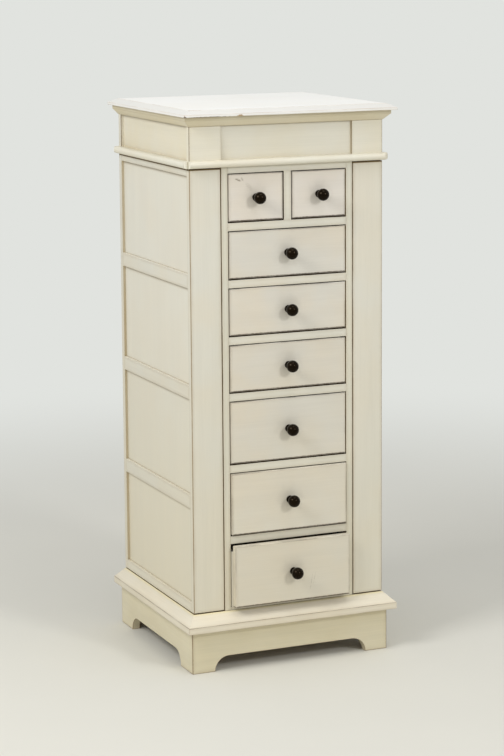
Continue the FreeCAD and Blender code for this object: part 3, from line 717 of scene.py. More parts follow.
@dataclass(frozen=True)
class PaintFinish(Finish):
    """Cream paint, brushed, with brown glaze in corners and on rubbed edges, and painted shade."""

    field: Colour
    warm: Colour
    tone_change: float = 0.03
    # Painted shade towards the bottom: its colour, its strength and the height where it starts.
    low: Colour = swatch(212, 203, 176)
    lowness: float = 0.45
    low_height: float = 0.8
    glaze: Colour = swatch(168, 150, 116)
    glaze_strength: float = 0.2
    glaze_width: float = 8 * MM
    lap: float = 0.0
    # Painted shadow under the rail above an upright face, and a glaze line at its bottom seam.
    sag_strength: float = 0.0
    sag_width: float = 9 * MM
    sag_curve: float = 1.6
    seam_width: float = 1.6 * MM
    brown: Colour = swatch(104, 78, 50)
    rub_width: float = 0.8 * MM
    rub_roughness: float = 0.2
    streak: float = 0.05
    streak_roughness: float = 0.12
    halo: Colour = swatch(186, 179, 164)
    halo_strength: float = 0.0
    halo_reach: float = 32 * MM
    halo_core: float = 8 * MM
    stains: tuple[Stain, ...] = ()
    chips: tuple[Chip, ...] = ()
    scuff: Colour = swatch(136, 124, 104)
    scuffs: tuple[Scuff, ...] = ()
    roughness: float = 0.44
    gloss: float = 0.4
    bristle_depth: float = 0.06 * MM

    def apply(self, graph: Graph, shader: Inputs) -> None:
        """Feed the shader's inputs, from the paint's patches up to its chips.

        Args:
            graph: The material's graph.
            shader: The shader's inputs.
        """
        face = FaceData(graph)
        marks = graph.use(brush_marks(), Place=face.place, Tone=face.tone)
        streak = graph.minus(marks["Streak"], 0.5)
        colour = graph.mix(face.shade(), self.field, self.warm)
        # Painted shade: darker and yellower towards the bottom, for the light falling off lower
        # down.
        height = graph.split(face.point)[Z]
        lowness = graph.times(graph.fade(height, self.low_height, 0.0), self.lowness)
        colour = graph.mix(lowness, colour, self.low)
        lightness = graph.line(streak, self.streak, 1)
        lightness = graph.line(graph.minus(face.tone, 0.5), self.tone_change, lightness)
        colour = graph.scaled(colour, lightness)
        glazed = graph.times(face.settled(self.glaze_width, self.lap), self.glaze_strength)
        colour = graph.mix(glazed, colour, self.glaze)
        # Painted shadow under the rail above, where a finish asks for it.
        if self.sag_strength:
            colour = self.sagged(face, colour)
        if self.halo_strength:
            colour = self.handled(face, colour)
        for scuff in self.scuffs:
            colour = self.scuffed(face, colour, scuff)
        rubbed = graph.use(rubbed_edges(), Place=face.place, Reach=face.reach, Rub=face.rub,
                           Last_Rub=face.last_rub, Point=face.point, Width=self.rub_width)["Mask"]
        colour = graph.mix(rubbed, colour, self.brown)
        for mark in (*self.stains, *self.chips):
            colour = mark.over(graph, face.point, colour)
        graph.feed(shader["Base Color"], colour)
        rough = graph.line(streak, self.streak_roughness, self.roughness)
        graph.feed(shader["Roughness"], graph.line(rubbed, self.rub_roughness, rough))
        shader["Specular IOR Level"].default_value = self.gloss
        add_bump(graph, shader, marks["Bristles"], self.bristle_depth)

    def sagged(self, face: FaceData, colour: Value) -> Socket:
        """Return the colour with painted shadow under the face's top rail, and glaze at its
        bottom.

        Args:
            face: What is read of the face.
            colour: The colour so far.

        Returns:
            The glazed colour.
        """
        graph = face.graph
        borders = graph.use(border_distances(), Place=face.place, Reach=face.reach)
        # The upper band is painted shadow cast by the rail; the lower one is glaze in the seam.
        upper = graph.fade(graph.minus(borders["End"], self.lap), self.sag_width, 0)
        lower = graph.fade(graph.minus(borders["Start"], self.lap), self.seam_width, 0)
        share = graph.most(graph.calc("POWER", upper, self.sag_curve), lower)
        return graph.mix(graph.times(share, self.sag_strength), colour, self.glaze)

    def handled(self, face: FaceData, colour: Value) -> Socket:
        """Return the colour greyed in a soft ring round the middle of the face, where the knob
        sits.

        Args:
            face: What is read of the face.
            colour: The colour so far.

        Returns:
            The greyed colour.
        """
        graph = face.graph
        wander = graph.wander(graph.noise(face.point, scale=55, detail=2), self.halo_reach)
        distance = graph.plus(graph.length(face.place), wander)
        near = graph.fade(distance, self.halo_reach, self.halo_core)
        return graph.mix(graph.times(near, self.halo_strength), colour, self.halo)

    def scuffed(self, face: FaceData, colour: Value, scuff: Scuff) -> Socket:
        """Return the colour with one scuff on it.

        Args:
            face: What is read of the face.
            colour: The colour so far.
            scuff: The scuff.

        Returns:
            The scuffed colour.
        """
        graph = face.graph
        mark = graph.use(scuff_mark(), Place=face.place, Centre=(scuff.along, scuff.across, 0),
                         Angle=scuff.angle, Length=scuff.length, Width=scuff.width)["Mask"]
        return graph.mix(graph.times(mark, scuff.strength), colour, self.scuff)


@dataclass(frozen=True)
class WoodFinish(Finish):
    """Bare wood with straight grain, sanded, and sprayed over up to one y."""

    pale: Colour = swatch(213, 194, 162)
    dark: Colour = swatch(186, 160, 124)
    pore: Colour = swatch(134, 108, 78)
    pore_strength: float = 0.55
    shade_change: float = 0.12
    corner_width: float = 6 * MM
    corner_strength: float = 0.25
    roughness: float = 0.62
    grain_roughness: float = 0.1
    grain_depth: float = 0.08 * MM
    sprayed_to: float = -0.2
    spray: Colour = swatch(208, 202, 184)
    spray_blur: float = 7 * MM

    def apply(self, graph: Graph, shader: Inputs) -> None:
        """Feed the shader's inputs, from the grain up to the spray.

        Args:
            graph: The material's graph.
            shader: The shader's inputs.
        """
        face = FaceData(graph)
        grain = graph.use(wood_grain(), Place=face.place, Tone=face.tone)
        colour = graph.mix(grain["Figure"], self.pale, self.dark)
        colour = graph.mix(graph.times(grain["Pores"], self.pore_strength), colour, self.pore)
        shade = graph.line(face.shade(), self.shade_change, 1 - self.shade_change / 2)
        colour = graph.scaled(colour, shade)
        # Painted shade: the wood darkens towards its pore colour along each face's borders, as in
        # a corner.
        corners = graph.times(face.settled(self.corner_width), self.corner_strength)
        colour = graph.mix(corners, colour, self.pore)
        drift = graph.line(graph.noise(face.point, scale=60, detail=3), self.spray_blur,
                           graph.split(face.point)[Y])
        sprayed = graph.fade(drift, self.sprayed_to + self.spray_blur, self.sprayed_to)
        graph.feed(shader["Base Color"], graph.mix(sprayed, colour, self.spray))
        graph.feed(shader["Roughness"],
                   graph.line(grain["Figure"], self.grain_roughness, self.roughness))
        add_bump(graph, shader, graph.minus(grain["Figure"], grain["Pores"]), self.grain_depth)


@dataclass(frozen=True)
class LacquerFinish(Finish):
    """Glossy lacquer, near black, with a few fine dust specks."""

    black: Colour = swatch(12, 7, 3)
    worn: Colour = swatch(36, 23, 13)
    dustiness: float = 0.3
    cloudiness: float = 0.25
    roughness: float = 0.06
    cloud_roughness: float = 0.06
    gloss: float = 0.12
    gloss_tint: Colour = swatch(255, 222, 182)
    cloud_depth: float = 0.03 * MM

    def apply(self, graph: Graph, shader: Inputs) -> None:
        """Feed the shader's inputs.

        Args:
            graph: The material's graph.
            shader: The shader's inputs.
        """
        point = graph.point()
        cloudy = graph.noise(point, scale=90, detail=3)
        dust = graph.use(specks(), Point=point, Scale=900.0)["Mask"]
        patches = graph.times(graph.fade(cloudy, 0.5, 0.85), self.cloudiness)
        share = graph.line(dust, self.dustiness, patches)
        graph.feed(shader["Base Color"], graph.mix(share, self.black, self.worn))
        graph.feed(shader["Roughness"], graph.line(cloudy, self.cloud_roughness, self.roughness))
        shader["Specular IOR Level"].default_value = self.gloss
        shader["Specular Tint"].default_value = (*self.gloss_tint, 1)
        add_bump(graph, shader, cloudy, self.cloud_depth)


@dataclass(frozen=True)
class MetalFinish(Finish):
    """Plated or solid metal, with tarnish in soft patches and fine upright scratches."""

    clean: Colour
    tarnish: Colour
    roughness: float = 0.3
    tarnish_roughness: float = 0.2
    scratch_roughness: float = 0.1
    scratch_stretch: float = 0.08
    scratch_depth: float = 0.02 * MM

    def apply(self, graph: Graph, shader: Inputs) -> None:
        """Feed the shader's inputs.

        Args:
            graph: The material's graph.
            shader: The shader's inputs.
        """
        point = graph.point()
        patches = graph.noise(point, scale=140, detail=4, roughness=0.6)
        stretched = graph.move("MULTIPLY", point, (1, 1, self.scratch_stretch))
        scratches = graph.noise(stretched, scale=2600, detail=1)
        dull = graph.fade(patches, 0.45, 0.75)
        graph.feed(shader["Base Color"], graph.mix(dull, self.clean, self.tarnish))
        shader["Metallic"].default_value = 1
        rough = graph.line(dull, self.tarnish_roughness, self.roughness)
        graph.feed(shader["Roughness"], graph.line(scratches, self.scratch_roughness, rough))
        add_bump(graph, shader, scratches, self.scratch_depth)


@dataclass(frozen=True)
class FeltFinish(Finish):
    """Short-piled lining felt."""

    light: Colour = swatch(158, 138, 112)
    deep: Colour = swatch(118, 100, 78)
    lint: Colour = swatch(206, 194, 174)
    lint_strength: float = 0.3
    pile_share: float = 0.55
    roughness: float = 0.85
    pile_roughness: float = 0.1
    sheen: float = 0.5
    sheen_tint: Colour = swatch(226, 214, 196)
    pile_depth: float = 0.35 * MM

    def apply(self, graph: Graph, shader: Inputs) -> None:
        """Feed the shader's inputs.

        Args:
            graph: The material's graph.
            shader: The shader's inputs.
        """
        point = graph.point()
        pile = graph.noise(point, scale=1900, detail=2, roughness=0.7)
        nap = graph.times(graph.noise(point, scale=45, detail=3), 1 - self.pile_share)
        share = graph.fade(graph.line(pile, self.pile_share, nap), 0.35, 0.65)
        lint = graph.use(specks(), Point=point, Scale=1300.0)["Mask"]
        graph.feed(shader["Base Color"], graph.mix(
            graph.times(lint, self.lint_strength), graph.mix(share, self.deep, self.light),
            self.lint))
        graph.feed(shader["Roughness"], graph.line(pile, self.pile_roughness, self.roughness))
        shader["Sheen Weight"].default_value = self.sheen
        shader["Sheen Roughness"].default_value = self.sheen
        shader["Sheen Tint"].default_value = (*self.sheen_tint, 1)
        add_bump(graph, shader, pile, self.pile_depth)


@dataclass(frozen=True)
class MirrorFinish(Finish):
    """Silvered glass, with faint wipe marks."""

    silver: Colour = swatch(226, 229, 229)
    wiped: Colour = swatch(223, 226, 226)
    stretch: tuple[float, float, float] = (1, 5, 1)
    roughness: float = 0.015

    def apply(self, graph: Graph, shader: Inputs) -> None:
        """Feed the shader's inputs.

        Args:
            graph: The material's graph.
            shader: The shader's inputs.
        """
        wipes = graph.noise(graph.move("MULTIPLY", graph.point(), self.stretch), 12, detail=3)
        haze = graph.fade(wipes, 0.5, 0.8)
        graph.feed(shader["Base Color"], graph.mix(haze, self.silver, self.wiped))
        shader["Metallic"].default_value = 1
        graph.feed(shader["Roughness"], graph.line(haze, self.roughness, self.roughness))


@dataclass(frozen=True)
class PlasticFinish(Finish):
    """Moulded brown plastic, matte."""

    colour: Colour = swatch(104, 80, 60)
    scraped: Colour = swatch(140, 116, 94)
    roughness: float = 0.45
    stipple_roughness: float = 0.15
    stipple_depth: float = 0.06 * MM

    def apply(self, graph: Graph, shader: Inputs) -> None:
        """Feed the shader's inputs.

        Args:
            graph: The material's graph.
            shader: The shader's inputs.
        """
        point = graph.point()
        stipple = graph.noise(point, scale=2200, detail=1)
        worn = graph.use(specks(), Point=point, Scale=700.0)["Mask"]
        graph.feed(shader["Base Color"], graph.mix(worn, self.colour, self.scraped))
        graph.feed(shader["Roughness"],
                   graph.line(stipple, self.stipple_roughness, self.roughness))
        add_bump(graph, shader, stipple, self.stipple_depth)


def made(finish: Finish) -> Material:
    """Return a field whose value is a finish's material, made together with its owner."""
    return field(default_factory=finish.material)


BED_SHADOW = Stain(Z, 985.2 * MM, 989 * MM, 1.2 * MM, swatch(150, 132, 98))


@dataclass
class Finishes:
    """Every finish of the chest, made once."""

    painted: Material = made(PaintFinish(
        "cream paint", swatch(219, 216, 202), swatch(220, 214, 197)))
    # Door panels: darker lower down and shadowed under each rail, both painted shade.
    panel: Material = made(PaintFinish(
        "cream paint on the door panels", swatch(222, 219, 206), swatch(222, 217, 202),
        lowness=0.75, glaze_strength=0.08, lap=4 * MM, sag_strength=0.6,
        glaze=swatch(150, 134, 104), streak=0.035))
    # Lit and shaded copies of one paint: lighter on the frieze's front, darker and yellower on its
    # sides.
    frieze: Material = made(PaintFinish(
        "cream paint on the frieze's front", swatch(228, 224, 209), swatch(227, 220, 199),
        glaze_strength=0.14, glaze=swatch(196, 180, 140), stains=(BED_SHADOW,)))
    frieze_side: Material = made(PaintFinish(
        "cream paint on the frieze's sides", swatch(222, 216, 197), swatch(222, 213, 187),
        stains=(BED_SHADOW,)))
    # The brown band along the partitions' front edge is painted shade in the gap beside the
    # pilasters.
    partition: Material = made(PaintFinish(
        "cream paint on the partitions", swatch(218, 215, 199), swatch(220, 214, 194),
        stains=(Stain(Y, -159.4 * MM, -147 * MM, colour=swatch(170, 146, 102)),)))
    # The dark band along the doors' top edge is painted shadow under the bead.
    door: Material = made(PaintFinish(
        "cream paint on the doors", swatch(219, 216, 203), swatch(220, 214, 197),
        brown=swatch(136, 112, 76), rub_width=0.45 * MM,
        stains=(Stain(Z, 908.8 * MM, 920 * MM, 1.2 * MM, swatch(104, 82, 40)),)))
    # Painted shade: near-black brown on the walls of the gaps round drawers and doors, with some
    # stain.
    gap: Material = made(PaintFinish(
        "stained edges in the gaps", swatch(78, 50, 10), swatch(60, 38, 6),
        low=swatch(58, 38, 8), glaze=swatch(40, 24, 4), gloss=0.0, roughness=0.8))
    # Painted light: a lighter cream on the rails' upward faces, which catch the light from above.
    ledge: Material = made(PaintFinish(
        "cream paint on the rails' upper edges", swatch(234, 229, 215), swatch(232, 225, 208),
        glaze_strength=0.0))
    # Glaze and painted shade: a darker, browner cream for the walls of recesses, where shade
    # falls.
    recess: Material = made(PaintFinish(
        "glazed recess walls", swatch(200, 188, 162), swatch(188, 173, 142),
        low=swatch(192, 178, 148)))
    bead: Material = made(PaintFinish(
        "cream paint on the bead", swatch(226, 222, 206), swatch(225, 218, 198),
        glaze_strength=0.06, glaze_width=3 * MM, brown=swatch(150, 124, 84)))
    # Painted light: a brighter, yellower cream for the warm bounce light on the moulding under the
    # lid.
    bed: Material = made(PaintFinish(
        "cream paint on the bed moulding", swatch(222, 213, 188), swatch(218, 207, 177),
        streak=0.06, glaze_width=3 * MM, glaze=swatch(160, 138, 92), brown=swatch(120, 94, 56)))
    base: Material = made(PaintFinish(
        "cream paint on the plinth", swatch(222, 214, 188), swatch(216, 206, 175),
        low=swatch(206, 196, 164), lowness=0.3, streak=0.08, rub_width=0.9 * MM,
        brown=swatch(124, 96, 64)))
    # Both bands near the body are painted shade: a warm one on the slope and a dark line under the
    # doors.
    cap: Material = made(PaintFinish(
        "cream paint on the base cap", swatch(230, 223, 205), swatch(227, 217, 194),
        low=swatch(222, 212, 188), lowness=0.3, streak=0.09, rub_width=0.7 * MM,
        brown=swatch(104, 82, 52),
        stains=(Stain(Z, 105 * MM, 112 * MM, 3.5 * MM, swatch(232, 221, 178), 0.8),
                Stain(Z, 108.6 * MM, 112 * MM, 0.3 * MM, swatch(104, 76, 28)))))
    # Painted light: the lid's whiter paint stands for the stronger light on its top, with some
    # bleaching.
    lid: Material = made(PaintFinish(
        "cream paint on the lid", swatch(240, 239, 235), swatch(239, 237, 231),
        lowness=0.0, brown=swatch(176, 150, 116), glaze_strength=0.08, streak=0.03,
        # The band on the bevel is painted shade, for the stronger light on that slope.
        stains=(Stain(Z, 1008.8 * MM, 1015.8 * MM, 0.4 * MM, swatch(217, 215, 209), 0.96),),
        chips=(Chip((-206 * MM, -186 * MM, 1004.5 * MM), (5 * MM, 5 * MM, 3 * MM)),
               # Painted shadow under the lid's front lip.
               Chip((-163 * MM, -186 * MM, 1004.2 * MM), (52 * MM, 3 * MM, 1.3 * MM)),
               Chip((-101 * MM, -186 * MM, 1004.6 * MM), (7 * MM, 4 * MM, 3 * MM),
                    swatch(164, 132, 82)),
               Chip((-186 * MM, -171 * MM, 1016 * MM), (24 * MM, 0.9 * MM, 1.2 * MM),
                    swatch(164, 132, 96)))))
    bare: Material = made(WoodFinish("bare sanded wood"))
    drawer_box: Material = made(WoodFinish("bare wood of the drawers", sprayed_to=-144 * MM))
    lacquer: Material = made(LacquerFinish("knob lacquer"))
    brass: Material = made(MetalFinish("aged brass", swatch(172, 148, 102), swatch(116, 94, 60)))
    steel: Material = made(MetalFinish(
        "plated steel", swatch(196, 196, 194), swatch(150, 146, 140)))
    felt: Material = made(FeltFinish("lining felt"))
    mirror: Material = made(MirrorFinish("mirror"))
    plastic: Material = made(PlasticFinish("catch plastic"))

    def drawer_paint(self, label: str, scuffs: tuple[Scuff, ...], is_pale: bool) -> Material:
        """Return the paint of one drawer front, greyed round its knob.

        Args:
            label: The drawer's name.
            scuffs: The marks on its front.
            is_pale: Whether its paint is the paler one.

        Returns:
            The material.
        """
        # Painted light: the small top drawers get the paler paint against the shade under the
        # bead.
        colours = ((swatch(222, 216, 206), swatch(223, 214, 199)) if is_pale
                   else (swatch(216, 212, 201), swatch(219, 210, 192)))
        return PaintFinish(
            f"cream paint on {label}", *colours, glaze_strength=0.15, glaze_width=6 * MM,
            # The dark brown at the rubbed edges is wear, and at the bottom also painted shadow
            # under the front.
            halo_strength=0.3, scuffs=scuffs, rub_width=1.7 * MM, brown=swatch(56, 38, 15),
            gloss=0.3,
        ).material()


def unit(axis: int) -> Vector:
    """Return the vector of length 1 along an axis."""
    return Vector([float(number == axis) for number in range(3)])


@dataclass(frozen=True)
class Rub:
    """How far a board's edges are rubbed through on each side, from 0 to 1."""

    left: float = 0.3
    right: float = 0.3
    front: float = 0.3
    back: float = 0.2
    bottom: float = 0.3
    top: float = 0.3

    @classmethod
    def even(cls, share: float) -> "Rub":
        """Return the same rub on every side."""
        return cls(share, share, share, share, share, share)

    def towards(self, direction: Vector) -> float:
        """Return the value of the side that a direction points to most.

        Args:
            direction: The direction.

        Returns:
            The side's value.
        """
        sides = ((self.left, self.right), (self.front, self.back), (self.bottom, self.top))
        axis = max(range(3), key=lambda number: abs(direction[number]))
        return sides[axis][direction[axis] > 0]

    def on_edge(self, normal: Vector) -> float:
        """Return the value of a rounded edge, from the sides that it lies between.

        Args:
            normal: The normal of the rounded edge.

        Returns:
            The mean of the sides' values.
        """
        share = 0.3
        parts = [self.towards(unit(axis) * part)
                 for axis, part in enumerate(normal) if abs(part) > share]
        return sum(parts) / len(parts)


def corners_of(faces: Iterable[BMFace]) -> list[Vector]:
    """Return the places of the corners of some faces."""
    return [corner.co for each in faces for corner in each.verts]


def box_of(faces: Iterable[BMFace]) -> Box:
    """Return the lowest and highest corner of some faces.

    Args:
        faces: The faces.

    Returns:
        The two corners.
    """
    spots = corners_of(faces)
    return (Vector([min(spot[axis] for spot in spots) for axis in range(3)]),
            Vector([max(spot[axis] for spot in spots) for axis in range(3)]))


def spread(starts: Iterable[BMFace], allowed: set[BMFace],
           bend: float = math.inf) -> Iterator[list[BMFace]]:
    """Gather faces into connected groups.

    Args:
        starts: The faces to start from, in order.
        allowed: The faces that a group may hold.
        bend: The largest angle of an edge that a group spreads over. Where it is given, a group
            ends at a seam too.

    Yields:
        The faces of each group.
    """
    seen: set[BMFace] = set()
    for first in starts:
        if first in seen or first not in allowed:
            continue
        seen.add(first)
        group = [first]
        for face in group:
            for edge in face.edges:
                if bend < math.inf and (edge.seam or edge.calc_face_angle(0) > bend):
                    continue
                for other in edge.link_faces:
                    if other in allowed and other not in seen:
                        seen.add(other)
                        group.append(other)
        yield group


def boards_of(mesh: BMesh) -> Iterator[list[BMFace]]:
    """Gather the faces of each board of a mesh."""
    return spread(mesh.faces, set(mesh.faces))


def merged_solids(node: str) -> BMesh:
    """Return a CAD node's solids, each a closed mesh of its own, with flat faces in one piece.

    The node's triangles come solid by solid, so a solid ends where its last open edge closes.

    Args:
        node: The node's name.

    Returns:
        A new mesh.
    """
    mesh = bmesh.new()
    mesh.from_mesh(frame["nodes"][node].data)
    solids: list[set] = [set()]
    open_edges: set[frozenset] = set()
    for face in mesh.faces:
        spots = [corner.co.to_tuple(DIGITS) for corner in face.verts]
        for pair in zip(spots, spots[1:] + spots[:1]):
            open_edges ^= {frozenset(pair)}
        solids[-1].update(face.verts)
        if not open_edges:
            solids.append(set())
    for corners in solids:
        bmesh.ops.remove_doubles(mesh, verts=sorted(corners, key=lambda corner: corner.index),
                                 dist=WELD)
    bmesh.ops.dissolve_limit(mesh, angle_limit=FLAT, use_dissolve_boundaries=False,
                             verts=mesh.verts, edges=mesh.edges, delimit=set())
    return mesh


def solid_boxes(node: str) -> list[Box]:
    """Return the box of each solid of a CAD node, in the node's own order.

    Args:
        node: The node's name.

    Returns:
        The boxes.
    """
    mesh = merged_solids(node)
    boxes = [box_of(board) for board in boards_of(mesh)]
    mesh.free()
    return boxes


def linked(name: str, data: bpy.types.ID) -> bpy.types.Object:
    """Return a new object with some data, which is in the scene.

    Args:
        name: The object's name.
        data: Its mesh, lamp or camera.

    Returns:
        The object.
    """
    thing = bpy.data.objects.new(name, data)
    bpy.context.scene.collection.objects.link(thing)
    return thing


def add_object(name: str, mesh: BMesh, materials: Sequence[Material], node: str,
               slot: str) -> bpy.types.Object:
    """Turn a mesh into a piece that rides with a CAD node.

    Args:
        name: The piece's name.
        mesh: Its mesh, in place. It is freed.
        materials: Its materials, in the order of the faces' material numbers.
        node: The node, whose body carries it.
        slot: The record's material slot. It is not used.

    Returns:
        The piece.
    """
    data = bpy.data.meshes.new(name)
    mesh.to_mesh(data)
    mesh.free()
    for material in materials:
        data.materials.append(material)
    piece = linked(name, data)
    body = frame["nodes"][node]["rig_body"]
    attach(piece, body)
    log.info("%s rides on %s, with %d faces", name, body, len(data.polygons))
    return piece


@dataclass
class Dresser:
    """Finishes a CAD node's boards: eased edges, and on each face what its material reads.

    The UV map place holds the metres along and across the board from the face's middle. The
    attribute reach holds half the face's length and width, 1 on an eased edge, and the board's
    tone. The attribute rub holds how far the edge is rubbed at the four borders.
    """

    node: str
    material: Material
    slot: str = "painted_wood"
    radius: float = 0.6 * MM
    eased: Eased = Eased.ALL
    grain: Grain = Grain.LENGTH
    rub: Rub = Rub()
    walls: dict[Facing, Material] = field(default_factory=dict)
    walls_inside: bool = False
    mitred: bool = False
    joints: tuple[float, ...] = ()
    suffix: str = "painted"

    sharp: float = math.radians(32)
    segments: int = 2
    smooth: float = math.radians(50)
    border_play: float = 2.5 * MM
    narrow: float = 1.6 * MM
    slanted: float = 0.9
    wall_facing: float = 0.7
    end_grain: float = 0.3
    mitre_plan: float = 0.15
    mitre_rise: float = 0.02

    def dress(self) -> bpy.types.Object:
        """Return the dressed piece, which stands for its CAD node.

        Returns:
            The piece.
        """
        mesh = merged_solids(self.node)
        self.part_boards(mesh)
        rounded = self.ease(mesh)
        self.mark(mesh, rounded)
        piece = add_object(f"{self.node}_{self.suffix}", mesh, self.materials(),
                           self.node, self.slot)
        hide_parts(self.node)
        weighted = piece.modifiers.new("weighted normals", "WEIGHTED_NORMAL")
        weighted.keep_sharp = True
        return piece

    def materials(self) -> list[Material]:
        """Return the board's own material, then those of its walls."""
        return [self.material, *dict.fromkeys(self.walls.values())]

    def part_boards(self, mesh: BMesh) -> None:
        """Cut the faces where upright joints between boards run, at each x of joints.

        Args:
            mesh: The boards.
        """
        for place in self.joints:
            cut = bmesh.ops.bisect_plane(
                mesh, geom=[*mesh.verts, *mesh.edges, *mesh.faces], dist=WELD,
                plane_co=(place, 0, 0), plane_no=unit(X))
            for part in cut["geom_cut"]:
                if isinstance(part, BMEdge):
                    part.seam = True
        if self.joints:
            bmesh.ops.dissolve_limit(mesh, angle_limit=FLAT, use_dissolve_boundaries=False,
                                     verts=mesh.verts, edges=mesh.edges, delimit={"SEAM"})

    def ease(self, mesh: BMesh) -> set[BMFace]:
        """Round the boards' edges over.

        Args:
            mesh: The boards.

        Returns:
            The faces of the rounded edges.
        """
        chosen = []
        for board in boards_of(mesh):
            low, high = box_of(board)
            edges = dict.fromkeys(edge for each in board for edge in each.edges)
            chosen += [edge for edge in edges if self.is_eased(edge, low, high)]
        bevelled = bmesh.ops.bevel(
            mesh, geom=chosen, offset=self.radius, offset_type="OFFSET", segments=self.segments,
            profile=0.5, affect="EDGES", clamp_overlap=True, material=-1, loop_slide=True)
        for each in mesh.faces:
            each.smooth = True
        for edge in mesh.edges:
            edge.smooth = edge.calc_face_angle(0) < self.smooth
        return set(bevelled["faces"])

    def is_eased(self, edge: BMEdge, low: Vector, high: Vector) -> bool:
        """Tell whether an edge of a board is rounded over.

        Args:
            edge: The edge.
            low, high: The board's corners.

        Returns:
            True where it is.
        """
        return (edge.is_manifold and edge.is_convex and edge.calc_face_angle() >= self.sharp
                and not (self.mitred and self.on_mitre(edge))
                and (self.eased is Eased.ALL or self.on_outline(edge, low, high)))

    def on_mitre(self, edge: BMEdge) -> bool:
        """Tell whether an edge bounds a mitre's cut, which is slanted in plan and upright.

        Args:
            edge: The edge.

        Returns:
            True where it does.
        """
        normals = [each.normal for each in edge.link_faces]
        return any(min(abs(normal.x), abs(normal.y)) > self.mitre_plan
                   and abs(normal.z) < self.mitre_rise for normal in normals)

    @staticmethod
    def on_outline(edge: BMEdge, low: Vector, high: Vector) -> bool:
        """Tell whether an edge lies on the outline of its board's box.

        Args:
            edge: The edge.
            low, high: The board's corners.

        Returns:
            True where it does.
        """
        ends = [corner.co for corner in edge.verts]
        planes = sum(
            all(abs(end[axis] - side[axis]) < ON_PLANE for end in ends)
            for axis in range(3) for side in (low, high)
        )
        return planes >= 2

    def mark(self, mesh: BMesh, rounded: set[BMFace]) -> None:
        """Write what the materials read on every face.

        Args:
            mesh: The boards.
            rounded: The faces of their rounded edges.
        """
        layers = mesh.loops.layers
        place, reach, rub = (layers.uv.new("place"), layers.float_color.new("reach"),
                             layers.float_color.new("rub"))
        materials = self.materials()
        draw = random.Random(self.node)
        for board in boards_of(mesh):
            corners = corners_of(board)
            tone = draw.random()
            grain = self.grain_of(*box_of(board))
            sides = list(spread(board, set(board) - rounded, SAME_SIDE))
            sides += [[each] for each in board if each in rounded]
            for side in sides:
                normal = sum((each.normal * each.calc_area() for each in side), Vector())
                normal = normal.normalized() if normal.length else side[0].normal
                along, across = self.directions(normal, grain)
                spots = corners_of(side)
                spans = [[spot.dot(way) for spot in spots] for way in (along, across)]
                middle = [(min(span) + max(span)) / 2 for span in spans]
                half = [(max(span) - min(span)) / 2 for span in spans]
                is_slanted = max(abs(part) for part in normal) < self.slanted
                if side[0] in rounded or (is_slanted and half[1] < self.narrow):
                    size = (1, 1, 1, tone)
                    wear = (self.rub.on_edge(normal),) * 4
                    finish = self.material
                else:
                    size = (*half, 0, tone)
                    wear = tuple(
                        self.rub.towards(way) if self.on_border(way, spots, corners) else 0.0
                        for way in (-along, along, -across, across))
                    finish = self.finish_of(normal, spots, corners)
                for each in side:
                    each.material_index = materials.index(finish)
                    for corner in each.loops:
                        spot = corner.vert.co
                        corner[place].uv = (spot.dot(along) - middle[0],
                                            spot.dot(across) - middle[1])
                        corner[reach] = size
                        corner[rub] = wear

    def finish_of(self, normal: Vector, spots: Sequence[Vector],
                  corners: Sequence[Vector]) -> Material:
        """Return the material of one side of a board.

        Args:
            normal: The side's normal.
            spots: The side's corners.
            corners: The board's corners.

        Returns:
            The material.
        """
        if self.walls_inside and self.on_border(normal, spots, corners):
            return self.material
        return next((wall for way, wall in self.walls.items()
                     if normal.dot(Vector(way.value)) > self.wall_facing), self.material)

    def on_border(self, way: Vector, spots: Sequence[Vector], corners: Sequence[Vector]) -> bool:
        """Tell whether a side reaches as far one way as its whole board does.

        Args:
            way: The direction.
            spots: The side's corners.
            corners: The board's corners.

        Returns:
            True where it does, but for a rounded edge.
        """
        reach = max(spot.dot(way) for spot in spots)
        return reach > max(corner.dot(way) for corner in corners) - self.border_play

    def grain_of(self, low: Vector, high: Vector) -> Vector:
        """Return the way of a board's grain, from its box.

        Args:
            low, high: The board's corners.

        Returns:
            The grain's direction.
        """
        if self.grain is Grain.UPRIGHT:
            return unit(Z)
        span = high - low
        return unit(max(range(3), key=lambda number: span[number]))

    def directions(self, normal: Vector, grain: Vector) -> tuple[Vector, Vector]:
        """Return the directions along and across the grain on a face, or on end grain any two.

        Args:
            normal: The face's normal.
            grain: The board's grain.

        Returns:
            The two directions, each of length 1.
        """
        along = grain - normal * grain.dot(normal)
        if along.length < self.end_grain:
            other = unit(min(range(3), key=lambda number: abs(normal[number])))
            along = other - normal * other.dot(normal)
        along.normalize()
        return along, normal.cross(along)


def dress_bare(node: str, wood: Material, **settings: object) -> None:
    """Dress a node as bare sanded wood, with settings for its Dresser."""
    Dresser(node, wood, slot="bare_wood", suffix="sanded", **settings).dress()


def box_mesh(low: Vector, high: Vector) -> BMesh:
    """Return a new mesh of a box between two corners.

    Args:
        low, high: The corners.

    Returns:
        The mesh.
    """
    mesh = bmesh.new()
    bmesh.ops.create_cube(mesh, size=1)
    bmesh.ops.scale(mesh, vec=high - low, verts=mesh.verts)
    bmesh.ops.translate(mesh, vec=(low + high) / 2, verts=mesh.verts)
    return mesh


def board_mesh(low: Vector, high: Vector, radius: float, segments: int = 3) -> BMesh:
    """Return a rectangular board with all its edges rounded.

    Args:
        low, high: Its corners.
        radius: The radius of its edges.
        segments: The steps of each rounding.

    Returns:
        A new mesh.
    """
    mesh = box_mesh(low, high)
    bmesh.ops.bevel(mesh, geom=mesh.edges, offset=radius, offset_type="OFFSET", segments=segments,
                    profile=0.5, affect="EDGES", clamp_overlap=True, material=-1)
    for each in mesh.faces:
        each.smooth = True
    return mesh


